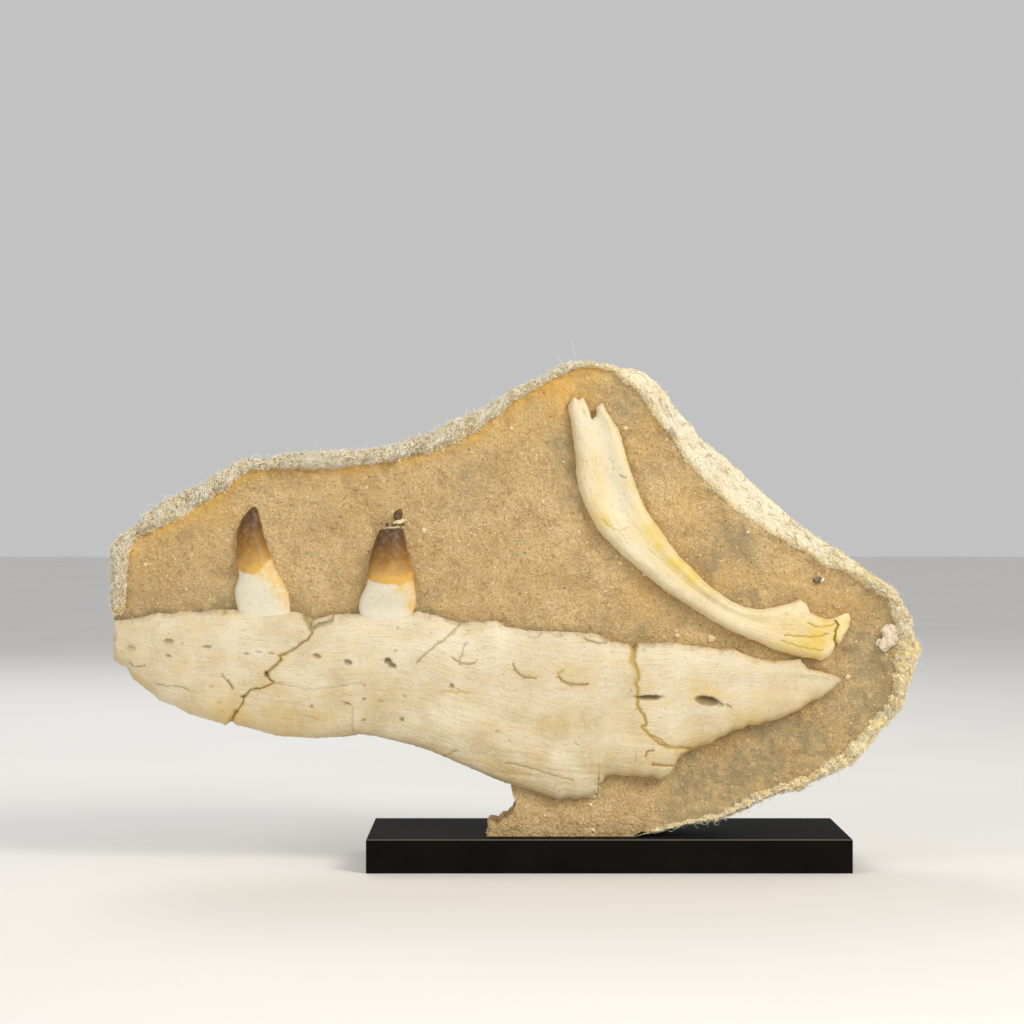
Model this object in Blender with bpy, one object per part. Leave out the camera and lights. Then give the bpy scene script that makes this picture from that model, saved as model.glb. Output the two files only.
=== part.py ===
"""Fossil jaw in its plaster field jacket, standing upright on a plain display base.

Metres, +Z up, the fossil's face towards -Y. Outlines are points (column, row) on a square grid laid
over the object's face, rows counted downwards; STEP is the real size of one grid step.
"""

import math

import bmesh
import bpy
from mathutils import Matrix, Vector

MM = 0.001
COLLECTION = "fossil_jaw"

# The grid of the outlines
STEP = 0.62 * MM
MIDDLE_COLUMN = 516.5
FLOOR_ROW = 836.0

# Display base
BASE_LENGTH = 299.0 * MM
BASE_DEPTH = 120.0 * MM
BASE_HEIGHT = 21.0 * MM
BASE_MIDDLE_X = 57.0 * MM
BASE_EDGE = 0.6 * MM
SLOT_DEPTH = 10.0 * MM

# Fits
GAP = 0.3 * MM

# Depths of the slab: the rock's face, the rock's hidden back and the jacket's back
FACE_Y = -43.0 * MM
ROCK_BACK_Y = 0.0 * MM
FOOT_FRONT_Y = -44.0 * MM
FOOT_BACK_Y = 22.0 * MM
FOOT_SINK = 9.7 * MM
FACE_CELL = 13.0 * MM

# The jacket's rolled rim: inset from the outline and depth, from the inside out
RIM_RINGS = (
    (17.0 * MM, -45.0 * MM),
    (9.0 * MM, -49.0 * MM),
    (4.0 * MM, -50.0 * MM),
    (1.0 * MM, -48.0 * MM),
    (0.0, -44.0 * MM),
)
# The jacket's side and domed back: share of the way to the spine, depth, and depth at the foot
BACK_RINGS = (
    (0.0, 5.0 * MM, 14.0 * MM),
    (0.05, 14.0 * MM, 20.0 * MM),
    (0.16, 22.0 * MM, 25.0 * MM),
    (0.36, 29.0 * MM, 29.0 * MM),
    (0.62, 34.0 * MM, 34.0 * MM),
    (0.80, 36.0 * MM, 36.0 * MM),
)
SPINE = ((190, 602), (330, 606), (520, 620), (640, 646), (800, 664))
# The foot on the grid: where it starts, its underside, its right side and its left sides
FOOT_TOP_ROW = 796.0
FOOT_ROW = FLOOR_ROW + FOOT_SINK / STEP
FOOT_END_COLUMN = 635.0
ROCK_FOOT_COLUMN = 486.0
JACKET_FOOT_COLUMN = 522.0

# How far the bones stand out of the rock and how deep they are held in it
BONE_EDGE = 2.5 * MM
JAW_HOLD = 13.0 * MM
CURVED_HOLD = 9.0 * MM
TOOTH_HOLD = 8.0 * MM
JAW_BULGE = (
    (114, 6.5), (160, 9.0), (300, 10.5), (470, 11.0), (620, 10.0), (720, 8.5), (790, 6.0), (840, 1.5),
)
CURVED_BULGE = ((0.0, 4.0), (0.15, 6.0), (0.45, 7.5), (0.7, 7.0), (0.85, 6.0), (0.94, 5.0), (1.0, 2.0))
CRACK_WIDTH = 2.2 * MM
CRACK_DEPTH = 3.0 * MM

# Outer edge of the jacket, clockwise from the upper left; the left end is finished plainly
JACKET_OUTLINE = (
    (113, 548), (117, 541), (130, 530), (140, 523), (151, 513), (163, 503), (187, 491), (200, 488),
    (220, 473), (240, 462), (252, 460), (268, 460), (300, 455), (338, 452), (377, 450), (404, 443),
    (432, 434), (461, 418), (487, 408), (510, 393), (532, 382), (557, 369), (571, 364), (581, 362),
    (595, 363), (622, 370), (634, 369), (644, 372), (656, 382), (670, 403), (691, 426), (706, 444),
    (734, 466), (762, 493), (799, 525), (838, 552), (872, 576), (895, 592), (900, 603), (909, 620),
    (913, 634), (920, 649), (920, 655), (914, 664), (911, 680), (907, 698), (900, 710), (882, 729),
    (863, 754), (853, 764), (839, 771), (800, 790), (765, 798), (735, 813), (718, 820), (677, 826),
    (650, 832), (FOOT_END_COLUMN, 836), (FOOT_END_COLUMN, FOOT_ROW), (JACKET_FOOT_COLUMN, FOOT_ROW),
    (JACKET_FOOT_COLUMN, 837), (521, 806), (515, 788), (488, 770), (461, 755), (432, 742), (400, 733),
    (372, 726), (349, 726), (317, 728), (283, 726), (257, 720), (225, 715), (189, 704), (162, 690),
    (143, 676), (131, 664), (119, 655), (118, 616), (113, 612),
)

# Edge of the rock: the jacket's inner rim, the free edge behind the jaw at the lower left, and the foot
ROCK_OUTLINE = (
    (115, 616), (125, 612), (126, 580), (129, 552), (139, 536), (151, 532), (168, 524), (184, 518),
    (197, 506), (226, 488), (249, 472), (265, 469), (300, 468), (338, 468), (377, 463), (414, 455),
    (456, 443), (485, 424), (498, 414), (512, 401), (534, 388), (558, 374), (572, 368), (583, 366),
    (597, 367), (612, 371), (633, 388), (650, 407), (658, 421), (670, 434), (678, 447), (686, 461),
    (712, 489), (743, 515), (776, 538), (807, 553), (844, 570), (869, 587), (883, 595), (892, 607),
    (895, 621), (895, 671), (890, 698), (873, 722), (850, 749), (836, 759), (799, 779), (758, 796),
    (718, 813), (697, 818), (670, 824), (637, 831), (630, 836), (630, FOOT_ROW),
    (ROCK_FOOT_COLUMN, FOOT_ROW), (ROCK_FOOT_COLUMN, 837), (488, 829), (498, 824), (505, 817), (513, 813),
    (516, 805), (513, 796), (510, 782), (489, 767), (461, 757), (432, 744), (400, 735), (372, 728),
    (349, 729), (317, 731), (283, 729), (257, 723), (225, 718), (189, 707), (160, 693), (141, 678),
    (129, 665), (116, 656),
)

# Where the slab has no rim in front: left end below the jaw's upper edge, lower left edge and foot
FREE_FRONT = (
    (95, 614), (200, 614), (500, 700), (560, 780), (560, 860), (470, 860), (440, 800), (95, 760),
)

# Upper and lower edge of the jaw bone
JAW_TOP = (
    (114, 620), (140, 618), (158, 612), (181, 611), (234, 609), (288, 611), (317, 614), (357, 613),
    (419, 611), (445, 618), (461, 623), (496, 620), (505, 626), (549, 631), (599, 634), (610, 641),
    (633, 644), (691, 645), (733, 648), (755, 658), (772, 661), (800, 658), (809, 669), (840, 677),
)
JAW_LOWER = (
    (114, 660), (126, 666), (141, 685), (160, 700), (180, 708), (207, 719), (232, 724), (257, 730),
    (283, 736), (317, 738), (359, 734), (385, 738), (413, 745), (432, 751), (461, 764), (501, 781),
    (535, 791), (559, 800), (589, 798), (596, 795), (604, 780), (643, 777), (660, 779), (670, 774),
    (675, 765), (687, 752), (711, 743), (725, 735), (758, 725), (779, 719), (799, 710), (818, 699),
    (831, 690), (840, 683),
)
JAW_STATIONS = (
    114, 120, 127, 134, 141, 150, 160, 170, 181, 194, 207, 219, 232, 244, 257, 270, 283, 300, 317, 331, 345,
    359, 372, 385, 399, 413, 432, 446, 461, 473, 485, 496, 505, 520, 535, 549, 559, 574, 589, 596, 600, 604,
    610, 621, 633, 646, 660, 670, 675, 681, 691, 701, 711, 725, 740, 755, 772, 786, 800, 809, 818, 831, 840,
)

# Openings of nerves and vessels in the jaw: column, row, width, height, depth in millimetres
FORAMINA = (
    (171, 640, 9, 6, 1.8), (171, 655, 7, 5, 1.4), (209, 646, 10, 6, 2.0), (248, 653, 7, 5, 1.5),
    (317, 655, 10, 7, 2.2), (349, 660, 8, 6, 1.8), (390, 661, 14, 10, 3.0), (463, 662, 18, 6, 2.0),
    (452, 685, 7, 6, 1.6), (525, 673, 22, 7, 2.2), (573, 681, 24, 7, 2.4), (648, 696, 27, 7, 2.6),
    (708, 699, 28, 11, 3.4), (348, 702, 9, 6, 1.6), (381, 700, 7, 5, 1.2), (405, 698, 7, 5, 1.2),
)
JAW_CRACKS = (
    (
        (333, 610), (325, 623), (312, 629), (303, 643), (281, 656), (269, 670), (275, 681), (252, 688),
        (244, 703), (229, 728),
    ),
    ((304, 608), (307, 619), (314, 627)),
    ((632, 638), (631, 658), (637, 668), (637, 698), (644, 719), (641, 728), (657, 741), (680, 748)),
)

# Curved bone: pairs of points across it, outer edge then inner edge, from its notched top to its split end
CURVED_PAIRS = (
    ((570, 398), (603, 403)), ((568, 409), (608, 411)), ((570, 418), (612, 418)), ((572, 427), (616, 425)),
    ((574, 444), (622, 441)), ((576, 461), (627, 459)), ((576, 475), (631, 470)), ((579, 489), (635, 481)),
    ((584, 503), (638, 490)), ((591, 517), (641, 499)), ((599, 531), (646, 508)), ((611, 543), (652, 517)),
    ((622, 555), (659, 528)), ((636, 567), (667, 539)), ((650, 578), (676, 552)), ((664, 590), (688, 564)),
    ((681, 601), (700, 577)), ((698, 612), (712, 588)), ((714, 622), (726, 598)), ((734, 632), (743, 606)),
    ((754, 640), (762, 609)), ((773, 649), (783, 605)), ((796, 656), (800, 599)), ((813, 658), (812, 613)),
    ((822, 660), (822, 618)), ((830, 653), (832, 618)), ((838, 645), (842, 615)), ((846, 634), (850, 618)),
)
CURVED_NOTCH = (
    (584, 385), (585, 400), (588, 409), (592, 419), (596, 416), (597, 409), (599, 400), (602, 385),
)
CURVED_CRACKS = (
    ((838, 650), (835, 640), (834, 630), (836, 622), (839, 610)),
    ((784, 637), (800, 638), (816, 636), (828, 633)),
)

# Teeth: row, left column and right column of each section, from the tip down
FRONT_TOOTH = (
    (507, 252.5, 256), (512, 247.5, 258.5), (519, 242, 260), (527, 239, 262), (535, 237, 263.5),
    (544, 237, 266.5), (553, 236.5, 270), (562, 236, 273), (571, 239.5, 276.5), (579, 239, 282),
    (588, 235, 286.5), (597, 235.5, 289.5), (608, 238, 290),
)
REAR_TOOTH = (
    (529, 380.5, 403), (536, 377, 405), (547, 373, 407), (559, 370, 409.5), (571, 368, 412.5),
    (581, 368, 413.5), (588, 365, 415), (597, 360.5, 416), (605, 359, 415.5), (610, 359.5, 414),
)
TOOTH_TIP = (
    (508.5, 399, 401.5), (511, 395, 403), (515, 393, 403), (519.5, 394.5, 402.5),
)
TOOTH_CUTTER_DROP = 4.0

# Broad lumps and hollows of the rock's face: column, row, radius in steps, height in millimetres
ROCK_LUMPS = (
    (180, 570, 60, 1.2), (310, 520, 45, -1.4), (335, 575, 40, -1.5), (440, 500, 55, 1.4),
    (520, 570, 60, 1.6), (540, 440, 50, -1.2), (640, 600, 45, -1.6), (560, 520, 40, -1.4),
    (690, 500, 45, -2.0), (740, 550, 40, 1.4), (660, 430, 35, 1.2), (840, 600, 35, 1.2),
    (870, 660, 40, -1.5), (720, 640, 30, -1.5), (800, 740, 45, -2.5), (700, 790, 40, -2.0),
    (560, 820, 35, -1.2), (430, 580, 35, -1.0),
)


def at(column, row, y):
    """The point of the grid at this depth."""
    return Vector(((column - MIDDLE_COLUMN) * STEP, y, BASE_HEIGHT + (FLOOR_ROW - row) * STEP))


def between(line, where):
    """The value of a broken line of (place, value) points at this place."""
    for (a, start), (b, end) in zip(line, line[1:]):
        if where <= b:
            return start + (end - start) * max(0.0, where - a) / (b - a)
    return line[-1][1]


def eased(low, high, value):
    """0 up to low, 1 from high, and smooth between."""
    share = min(1.0, max(0.0, (value - low) / (high - low)))
    return share * share * (3 - 2 * share)


def grown(outline, distance):
    """The outline with each point moved out by this distance, in real size."""
    area = sum(a[0] * b[1] - b[0] * a[1] for a, b in zip(outline, outline[1:] + outline[:1]))
    side = 1 if area > 0 else -1
    moved = []
    for before, here, after in zip(outline[-1:] + outline[:-1], outline, outline[1:] + outline[:1]):
        first = (Vector(here) - Vector(before)).normalized()
        second = (Vector(after) - Vector(here)).normalized()
        normals = [Vector((edge.y, -edge.x)) * side for edge in (first, second)]
        middle = (normals[0] + normals[1]).normalized()
        reach = distance / STEP / max(0.4, middle.dot(normals[0]))
        moved.append(tuple(Vector(here) + middle * reach))
    return tuple(moved)


def new_object(name, bm, collection):
    """Closes the mesh into an object of this collection, faces outwards."""
    bmesh.ops.remove_doubles(bm, verts=bm.verts, dist=0.01 * MM)
    bmesh.ops.recalc_face_normals(bm, faces=bm.faces)
    mesh = bpy.data.meshes.new(name)
    bm.to_mesh(mesh)
    bm.free()
    obj = bpy.data.objects.new(name, mesh)
    collection.objects.link(obj)
    return obj


def prism(name, outline, y_front, y_back, collection):
    """A filled outline on the grid, extruded from y_front to y_back."""
    curve = bpy.data.curves.new(name, "CURVE")
    curve.dimensions = "2D"
    curve.fill_mode = "BOTH"
    curve.extrude = (y_back - y_front) / 2
    spline = curve.splines.new("POLY")
    spline.points.add(len(outline) - 1)
    for point, (column, row) in zip(spline.points, outline):
        place = at(column, row, 0)
        point.co = (place.x, place.z, 0, 1)
    spline.use_cyclic_u = True
    drawn = bpy.data.objects.new(name, curve)
    upright = Matrix.Rotation(math.pi / 2, 4, "X")
    drawn.matrix_world = Matrix.Translation((0, (y_front + y_back) / 2, 0)) @ upright
    collection.objects.link(drawn)
    bpy.context.view_layer.update()
    mesh = bpy.data.meshes.new_from_object(drawn.evaluated_get(bpy.context.evaluated_depsgraph_get()))
    bm = bmesh.new()
    bm.from_mesh(mesh)
    bm.transform(drawn.matrix_world)
    bpy.data.objects.remove(drawn)
    bpy.data.meshes.remove(mesh)
    return new_object(name, bm, collection)


def loft(name, sections, collection):
    """A closed body through sections that have the same number of points, with flat ends."""
    bm = bmesh.new()
    rings = [[bm.verts.new(point) for point in section] for section in sections]
    for first, second in zip(rings, rings[1:]):
        for i in range(len(first)):
            j = (i + 1) % len(first)
            bm.faces.new((first[i], first[j], second[j], second[i]))
    bm.faces.new(rings[0])
    bm.faces.new(rings[-1])
    return new_object(name, bm, collection)


def cut(obj, cutter, operation="DIFFERENCE"):
    """Applies an exact Boolean and keeps the cutter in its own collection."""
    modifier = obj.modifiers.new("cut", "BOOLEAN")
    modifier.operation = operation
    modifier.solver = "EXACT"
    modifier.object = cutter
    bpy.context.view_layer.update()
    mesh = bpy.data.meshes.new_from_object(obj.evaluated_get(bpy.context.evaluated_depsgraph_get()))
    obj.modifiers.clear()
    old = obj.data
    mesh.name = old.name
    obj.data = mesh
    bpy.data.meshes.remove(old)


def foot_share(row):
    """How much a row belongs to the foot, which stays straight and flat."""
    return eased(FOOT_TOP_ROW, FLOOR_ROW, row)


def towards_spine(column, row, inset, share):
    """A point of the jacket's outline moved towards the slab's spine by a distance and a share of the way.

    The share only lifts the foot's points, so that its sides stay upright in the slot.
    """
    here = Vector((column, row))
    best = None
    for a, b in zip(SPINE, SPINE[1:]):
        start, run = Vector(a), Vector(b) - Vector(a)
        along = min(1.0, max(0.0, (here - start).dot(run) / run.length_squared))
        foot = start + run * along
        if best is None or (foot - here).length < (best - here).length:
            best = foot
    way = best - here
    inner = way * (inset / STEP / way.length)
    rise = way * share
    return column + inner.x + rise.x * (1 - foot_share(row)), row + inner.y + rise.y


def face_depth(column, row):
    """Depth of the rock's face: broad lumps, falling back towards the lower right edge, flat at the foot."""
    height = 0.0
    for lump_column, lump_row, radius, lump in ROCK_LUMPS:
        away = ((column - lump_column) ** 2 + (row - lump_row) ** 2) / radius**2
        height += lump * math.exp(-away)
    fall = 5.0 * eased(0.0, 90.0, (row - 700) + 0.35 * (column - 700)) * eased(560, 700, column)
    lumpy = FACE_Y - (height - fall) * MM
    flat = foot_share(row + 12)
    return lumpy * (1 - flat) + (FOOT_FRONT_Y + 0.5 * MM) * flat


def jaw_face(column, share):
    """Depth of the jaw's face, at this share of the way from its upper edge to its lower edge."""
    rounded = max(0.0, 1 - abs(2 * share - 1) ** 2.4) ** 0.55
    middle_part = eased(360, 470, column) * (1 - eased(600, 680, column))
    shelf = 0.10 * math.exp(-(((share - 0.78) / 0.10) ** 2)) * middle_part
    trough = 0.12 * math.exp(-(((share - 0.42) / 0.16) ** 2)) * eased(420, 520, column)
    return FACE_Y - BONE_EDGE - between(JAW_BULGE, column) * MM * (rounded + shelf - trough)


def jaw_section(column):
    """One section across the jaw, from its upper edge over its face and back."""
    top, lower = between(JAW_TOP, column), between(JAW_LOWER, column)
    exposed = 1 - eased(490, 530, column)
    shares = (0.0, 0.04, 0.13, 0.27, 0.42, 0.58, 0.73, 0.87, 0.96, 1.0)
    points = [at(column, top + (lower - top) * share, jaw_face(column, share)) for share in shares]
    points.append(at(column, lower, FACE_Y + 4 * MM))
    points.append(at(column, lower - 5 * exposed, FACE_Y + JAW_HOLD))
    points.append(at(column, top, FACE_Y + JAW_HOLD))
    return points


def crack_cutter(name, path, depth_at, collection):
    """A V-shaped groove along a path on the grid, its floor CRACK_DEPTH below the surface."""
    sections = []
    for index, (column, row) in enumerate(path):
        before = Vector(path[max(0, index - 1)])
        after = Vector(path[min(len(path) - 1, index + 1)])
        run = (after - before).normalized()
        across = Vector((run.y, -run.x)) * (CRACK_WIDTH / STEP)
        surface = depth_at(column, row)
        front = surface - 2 * CRACK_DEPTH
        left = at(column - 1.5 * across.x, row - 1.5 * across.y, front)
        right = at(column + 1.5 * across.x, row + 1.5 * across.y, front)
        sections.append((left, right, at(column, row, surface + CRACK_DEPTH)))
    return loft(name, sections, collection)


def jaw_depth_at(column, row):
    """Depth of the jaw's face below a point of the grid."""
    top, lower = between(JAW_TOP, column), between(JAW_LOWER, column)
    return jaw_face(column, min(1.0, max(0.0, (row - top) / (lower - top))))


def jaw_outline():
    """The jaw's edge on the grid, with its two ends."""
    upper = [(column, between(JAW_TOP, column)) for column in JAW_STATIONS]
    lower = [(column, between(JAW_LOWER, column)) for column in reversed(JAW_STATIONS)]
    return tuple(upper + lower)


def make_jaw(parts, cutters):
    """The long jaw bone with its foramina and through cracks."""
    jaw = loft("jaw_bone", [jaw_section(column) for column in JAW_STATIONS], parts)
    pits = bmesh.new()
    for column, row, width, height, depth in FORAMINA:
        size = (width * STEP / 2, depth * MM, height * STEP / 2)
        place = Matrix.Translation(at(column, row, jaw_depth_at(column, row)))
        bmesh.ops.create_icosphere(pits, subdivisions=1, radius=1, matrix=place @ Matrix.Diagonal((*size, 1)))
    cut(jaw, new_object("foramina", pits, cutters))
    for index, path in enumerate(JAW_CRACKS):
        cut(jaw, crack_cutter(f"jaw_crack_{index}", path, jaw_depth_at, cutters))
    return jaw


def curved_face(along, across):
    """Depth of the curved bone's face: a dome with a shallow basin in its upper part."""
    dome = max(0.0, 1 - abs(2 * across - 1) ** 2.2) ** 0.6
    basin = 0.55 * math.exp(-(((across - 0.58) / 0.22) ** 2)) * (1 - eased(0.38, 0.5, along))
    lower_part = eased(0.45, 0.52, along) * (1 - eased(0.7, 0.8, along))
    groove = 0.3 * math.exp(-(((across - 0.62) / 0.14) ** 2)) * lower_part
    return FACE_Y - BONE_EDGE - between(CURVED_BULGE, along) * MM * (dome - basin - groove)


def curved_section(index):
    """One section across the curved bone, over its face and back."""
    outer, inner = (Vector(point) for point in CURVED_PAIRS[index])
    along = index / (len(CURVED_PAIRS) - 1)
    points = []
    for across in (0.0, 0.07, 0.2, 0.34, 0.48, 0.62, 0.78, 0.92, 1.0):
        place = outer.lerp(inner, across)
        points.append(at(place.x, place.y, curved_face(along, across)))
    points.append(at(inner.x, inner.y, FACE_Y + CURVED_HOLD))
    points.append(at(outer.x, outer.y, FACE_Y + CURVED_HOLD))
    return points


def make_curved_bone(parts, cutters):
    """The curved bone with its notched top and its split end."""
    sections = [curved_section(index) for index in range(len(CURVED_PAIRS))]
    bone = loft("curved_bone", sections, parts)
    cut(bone, prism("curved_notch", CURVED_NOTCH, FACE_Y - 20 * MM, FACE_Y + CURVED_HOLD + 5 * MM, cutters))
    for index, path in enumerate(CURVED_CRACKS):
        depth_at = lambda column, row: curved_face(0.95, 0.5)
        cut(bone, crack_cutter(f"curved_crack_{index}", path, depth_at, cutters))
    return bone


def tooth_section(row, left, right):
    """Half an ellipse in front, straight sides behind, held in the rock."""
    middle, half = (left + right) / 2, (right - left) / 2
    points = []
    for step in range(9):
        angle = math.pi * step / 8
        out = 0.85 * half * STEP * math.sin(angle)
        points.append(at(middle - half * math.cos(angle), row, FACE_Y - 1.0 * MM - out))
    points.append(at(right, row, FACE_Y + TOOTH_HOLD))
    points.append(at(left, row, FACE_Y + TOOTH_HOLD))
    return points


def make_tooth(name, rows, parts):
    """A tooth, or its tip, lofted through its rows."""
    return loft(name, [tooth_section(*row) for row in rows], parts)


def tooth_outline(rows, drop):
    """The tooth's edge on the grid, with its lower end carried down by drop."""
    left = [(side, row) for row, side, _ in rows]
    right = [(side, row) for row, _, side in reversed(rows)]
    low = rows[-1][0] + drop
    return tuple(left + [(rows[-1][1], low), (rows[-1][2], low)] + right) if drop else tuple(left + right)


def curved_outline():
    """The curved bone's edge on the grid."""
    outer = [pair[0] for pair in CURVED_PAIRS]
    inner = [pair[1] for pair in reversed(CURVED_PAIRS)]
    return tuple(outer + inner)


def make_rock(parts, cutters):
    """The rock: a lumpy face inside the rim, with a pocket for each bone and tooth."""
    first, last = at(100, 350, 0), at(930, 860, 0)
    columns = round((last.x - first.x) / FACE_CELL)
    rows = round((first.z - last.z) / FACE_CELL)
    bm = bmesh.new()
    bmesh.ops.create_grid(bm, x_segments=columns, y_segments=rows, size=0.5)
    for vert in bm.verts:
        column = 100 + (vert.co.x + 0.5) * 830
        row = 860 - (vert.co.y + 0.5) * 510
        vert.co = at(column, row, face_depth(column, row))
    grown_back = bmesh.ops.extrude_face_region(bm, geom=bm.faces[:])["geom"]
    for vert in (item for item in grown_back if isinstance(item, bmesh.types.BMVert)):
        vert.co.y = ROCK_BACK_Y + 20 * MM
    flat = [face for face in bm.faces if all(vert.co.y > ROCK_BACK_Y for vert in face.verts)]
    bmesh.ops.dissolve_faces(bm, faces=flat)
    rock = new_object("matrix", bm, parts)
    cut(rock, prism("rock_edge", ROCK_OUTLINE, -80 * MM, ROCK_BACK_Y, cutters), "INTERSECT")
    pockets = (
        ("jaw_pocket", jaw_outline(), JAW_HOLD),
        ("curved_pocket", curved_outline(), CURVED_HOLD),
        ("front_tooth_pocket", tooth_outline(FRONT_TOOTH, TOOTH_CUTTER_DROP), TOOTH_HOLD),
        ("rear_tooth_pocket", tooth_outline(REAR_TOOTH, TOOTH_CUTTER_DROP), TOOTH_HOLD),
        ("tooth_tip_pocket", tooth_outline(TOOTH_TIP, 0), TOOTH_HOLD),
    )
    for name, outline, hold in pockets:
        cut(rock, prism(name, grown(outline, GAP), -80 * MM, FACE_Y + hold + GAP, cutters))
    return rock


def make_jacket(parts, cutters):
    """The jacket: rolled rim, side and domed back, with the rock's hollow cut out."""
    sections = []
    for inset, depth in RIM_RINGS:
        ring = []
        for column, row in JACKET_OUTLINE:
            foot = foot_share(row)
            place = towards_spine(column, row, inset * (1 - 0.9 * foot), 0.0)
            ring.append(at(*place, depth * (1 - foot) + FOOT_FRONT_Y * foot))
        sections.append(ring)
    for share, depth, foot_depth in BACK_RINGS:
        ring = []
        for column, row in JACKET_OUTLINE:
            foot = foot_share(row)
            place = towards_spine(column, row, 0.0, share)
            ring.append(at(*place, depth * (1 - foot) + foot_depth * foot))
        sections.append(ring)
    jacket = loft("plaster_jacket", sections, parts)
    cut(jacket, prism("free_front", FREE_FRONT, -90 * MM, ROCK_BACK_Y + 2 * GAP, cutters))
    cut(jacket, prism("rock_hollow", grown(ROCK_OUTLINE, GAP), -90 * MM, ROCK_BACK_Y + GAP, cutters))
    return jacket


def make_base(parts, cutters):
    """The plain base with the slot that holds the foot of the rock and of the jacket behind it."""
    bm = bmesh.new()
    middle = Matrix.Translation((BASE_MIDDLE_X, 0, BASE_HEIGHT / 2))
    size = Matrix.Diagonal((BASE_LENGTH, BASE_DEPTH, BASE_HEIGHT, 1))
    bmesh.ops.create_cube(bm, size=1, matrix=middle @ size)
    bmesh.ops.bevel(bm, geom=bm.edges[:], offset=BASE_EDGE, segments=2, profile=0.5, affect="EDGES")
    base = new_object("display_base", bm, parts)
    for name, left, front, back in (
        ("rock_slot", ROCK_FOOT_COLUMN, FOOT_FRONT_Y - GAP, ROCK_BACK_Y + GAP),
        ("jacket_slot", JACKET_FOOT_COLUMN, ROCK_BACK_Y - GAP, FOOT_BACK_Y + GAP),
    ):
        slot = bmesh.new()
        low, high = at(left, FLOOR_ROW, 0).x - GAP, at(FOOT_END_COLUMN, FLOOR_ROW, 0).x + GAP
        middle = Matrix.Translation(((low + high) / 2, (front + back) / 2, BASE_HEIGHT))
        size = Matrix.Diagonal((high - low, back - front, 2 * SLOT_DEPTH, 1))
        bmesh.ops.create_cube(slot, size=1, matrix=middle @ size)
        cut(base, new_object(name, slot, cutters))
    return base


def paint(obj, name, color, roughness):
    """Gives the object one Principled material."""
    material = bpy.data.materials.new(name)
    material.use_nodes = True
    shader = material.node_tree.nodes["Principled BSDF"]
    shader.inputs["Base Color"].default_value = (*color, 1)
    shader.inputs["Roughness"].default_value = roughness
    obj.data.materials.clear()
    obj.data.materials.append(material)


def make_scene():
    """Clears the scene and builds every piece."""
    for obj in list(bpy.data.objects):
        bpy.data.objects.remove(obj)
    parts = bpy.data.collections.new(COLLECTION)
    cutters = bpy.data.collections.new("cutters")
    bpy.context.scene.collection.children.link(parts)
    bpy.context.scene.collection.children.link(cutters)
    paint(make_base(parts, cutters), "black_satin", (0.012, 0.012, 0.013), 0.4)
    paint(make_jacket(parts, cutters), "plaster", (0.72, 0.64, 0.48), 0.9)
    paint(make_rock(parts, cutters), "phosphate_sand", (0.42, 0.28, 0.12), 0.95)
    paint(make_jaw(parts, cutters), "fossil_bone", (0.82, 0.68, 0.44), 0.6)
    paint(make_curved_bone(parts, cutters), "fossil_bone", (0.82, 0.68, 0.44), 0.6)
    paint(make_tooth("front_tooth", FRONT_TOOTH, parts), "tooth_enamel", (0.22, 0.10, 0.03), 0.3)
    paint(make_tooth("rear_tooth", REAR_TOOTH, parts), "tooth_enamel", (0.22, 0.10, 0.03), 0.3)
    paint(make_tooth("rear_tooth_tip", TOOTH_TIP, parts), "tooth_enamel", (0.22, 0.10, 0.03), 0.3)
    cutters.hide_render = True
    for obj in cutters.objects:
        obj.display_type = "WIRE"
        obj.hide_render = True


make_scene()
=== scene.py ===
"""Fossil jaw in its plaster field jacket, upright on a display base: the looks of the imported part.

The face of the slab is drawn on a square grid (column, row), rows counted downwards. Lengths inside
the classes are in millimetres: x to the right, z up, and height out of the rock's face towards the
viewer. Meshes are turned to metres only when they are made.
"""

from __future__ import annotations

import logging
import math
from collections.abc import Callable, Sequence
from dataclasses import dataclass, field
from enum import Enum

import bmesh
import bpy
import numpy as np
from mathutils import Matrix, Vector
from mathutils.geometry import delaunay_2d_cdt


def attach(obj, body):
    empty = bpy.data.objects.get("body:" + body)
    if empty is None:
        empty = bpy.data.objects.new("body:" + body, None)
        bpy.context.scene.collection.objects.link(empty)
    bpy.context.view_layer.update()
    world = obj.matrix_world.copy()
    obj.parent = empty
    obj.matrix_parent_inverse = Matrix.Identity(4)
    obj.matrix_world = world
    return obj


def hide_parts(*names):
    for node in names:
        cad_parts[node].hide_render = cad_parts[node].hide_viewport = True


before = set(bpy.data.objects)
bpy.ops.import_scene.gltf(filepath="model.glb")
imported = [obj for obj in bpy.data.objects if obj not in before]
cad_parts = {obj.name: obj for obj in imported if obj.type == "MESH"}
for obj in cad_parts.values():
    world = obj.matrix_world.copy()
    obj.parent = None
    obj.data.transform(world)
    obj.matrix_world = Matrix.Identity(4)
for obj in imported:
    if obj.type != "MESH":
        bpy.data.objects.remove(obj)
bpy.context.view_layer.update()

log = logging.getLogger("fossil")

Array = np.ndarray
Points = tuple[tuple[float, float], ...]
Spots = tuple[tuple[float, float, float, float], ...]
ToothRows = tuple[tuple[float, float, float], ...]
OverFace = Callable[[Array, Array], Array]
Material, Object, Socket = bpy.types.Material, bpy.types.Object, bpy.types.NodeSocket
Paint = str | Socket

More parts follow.
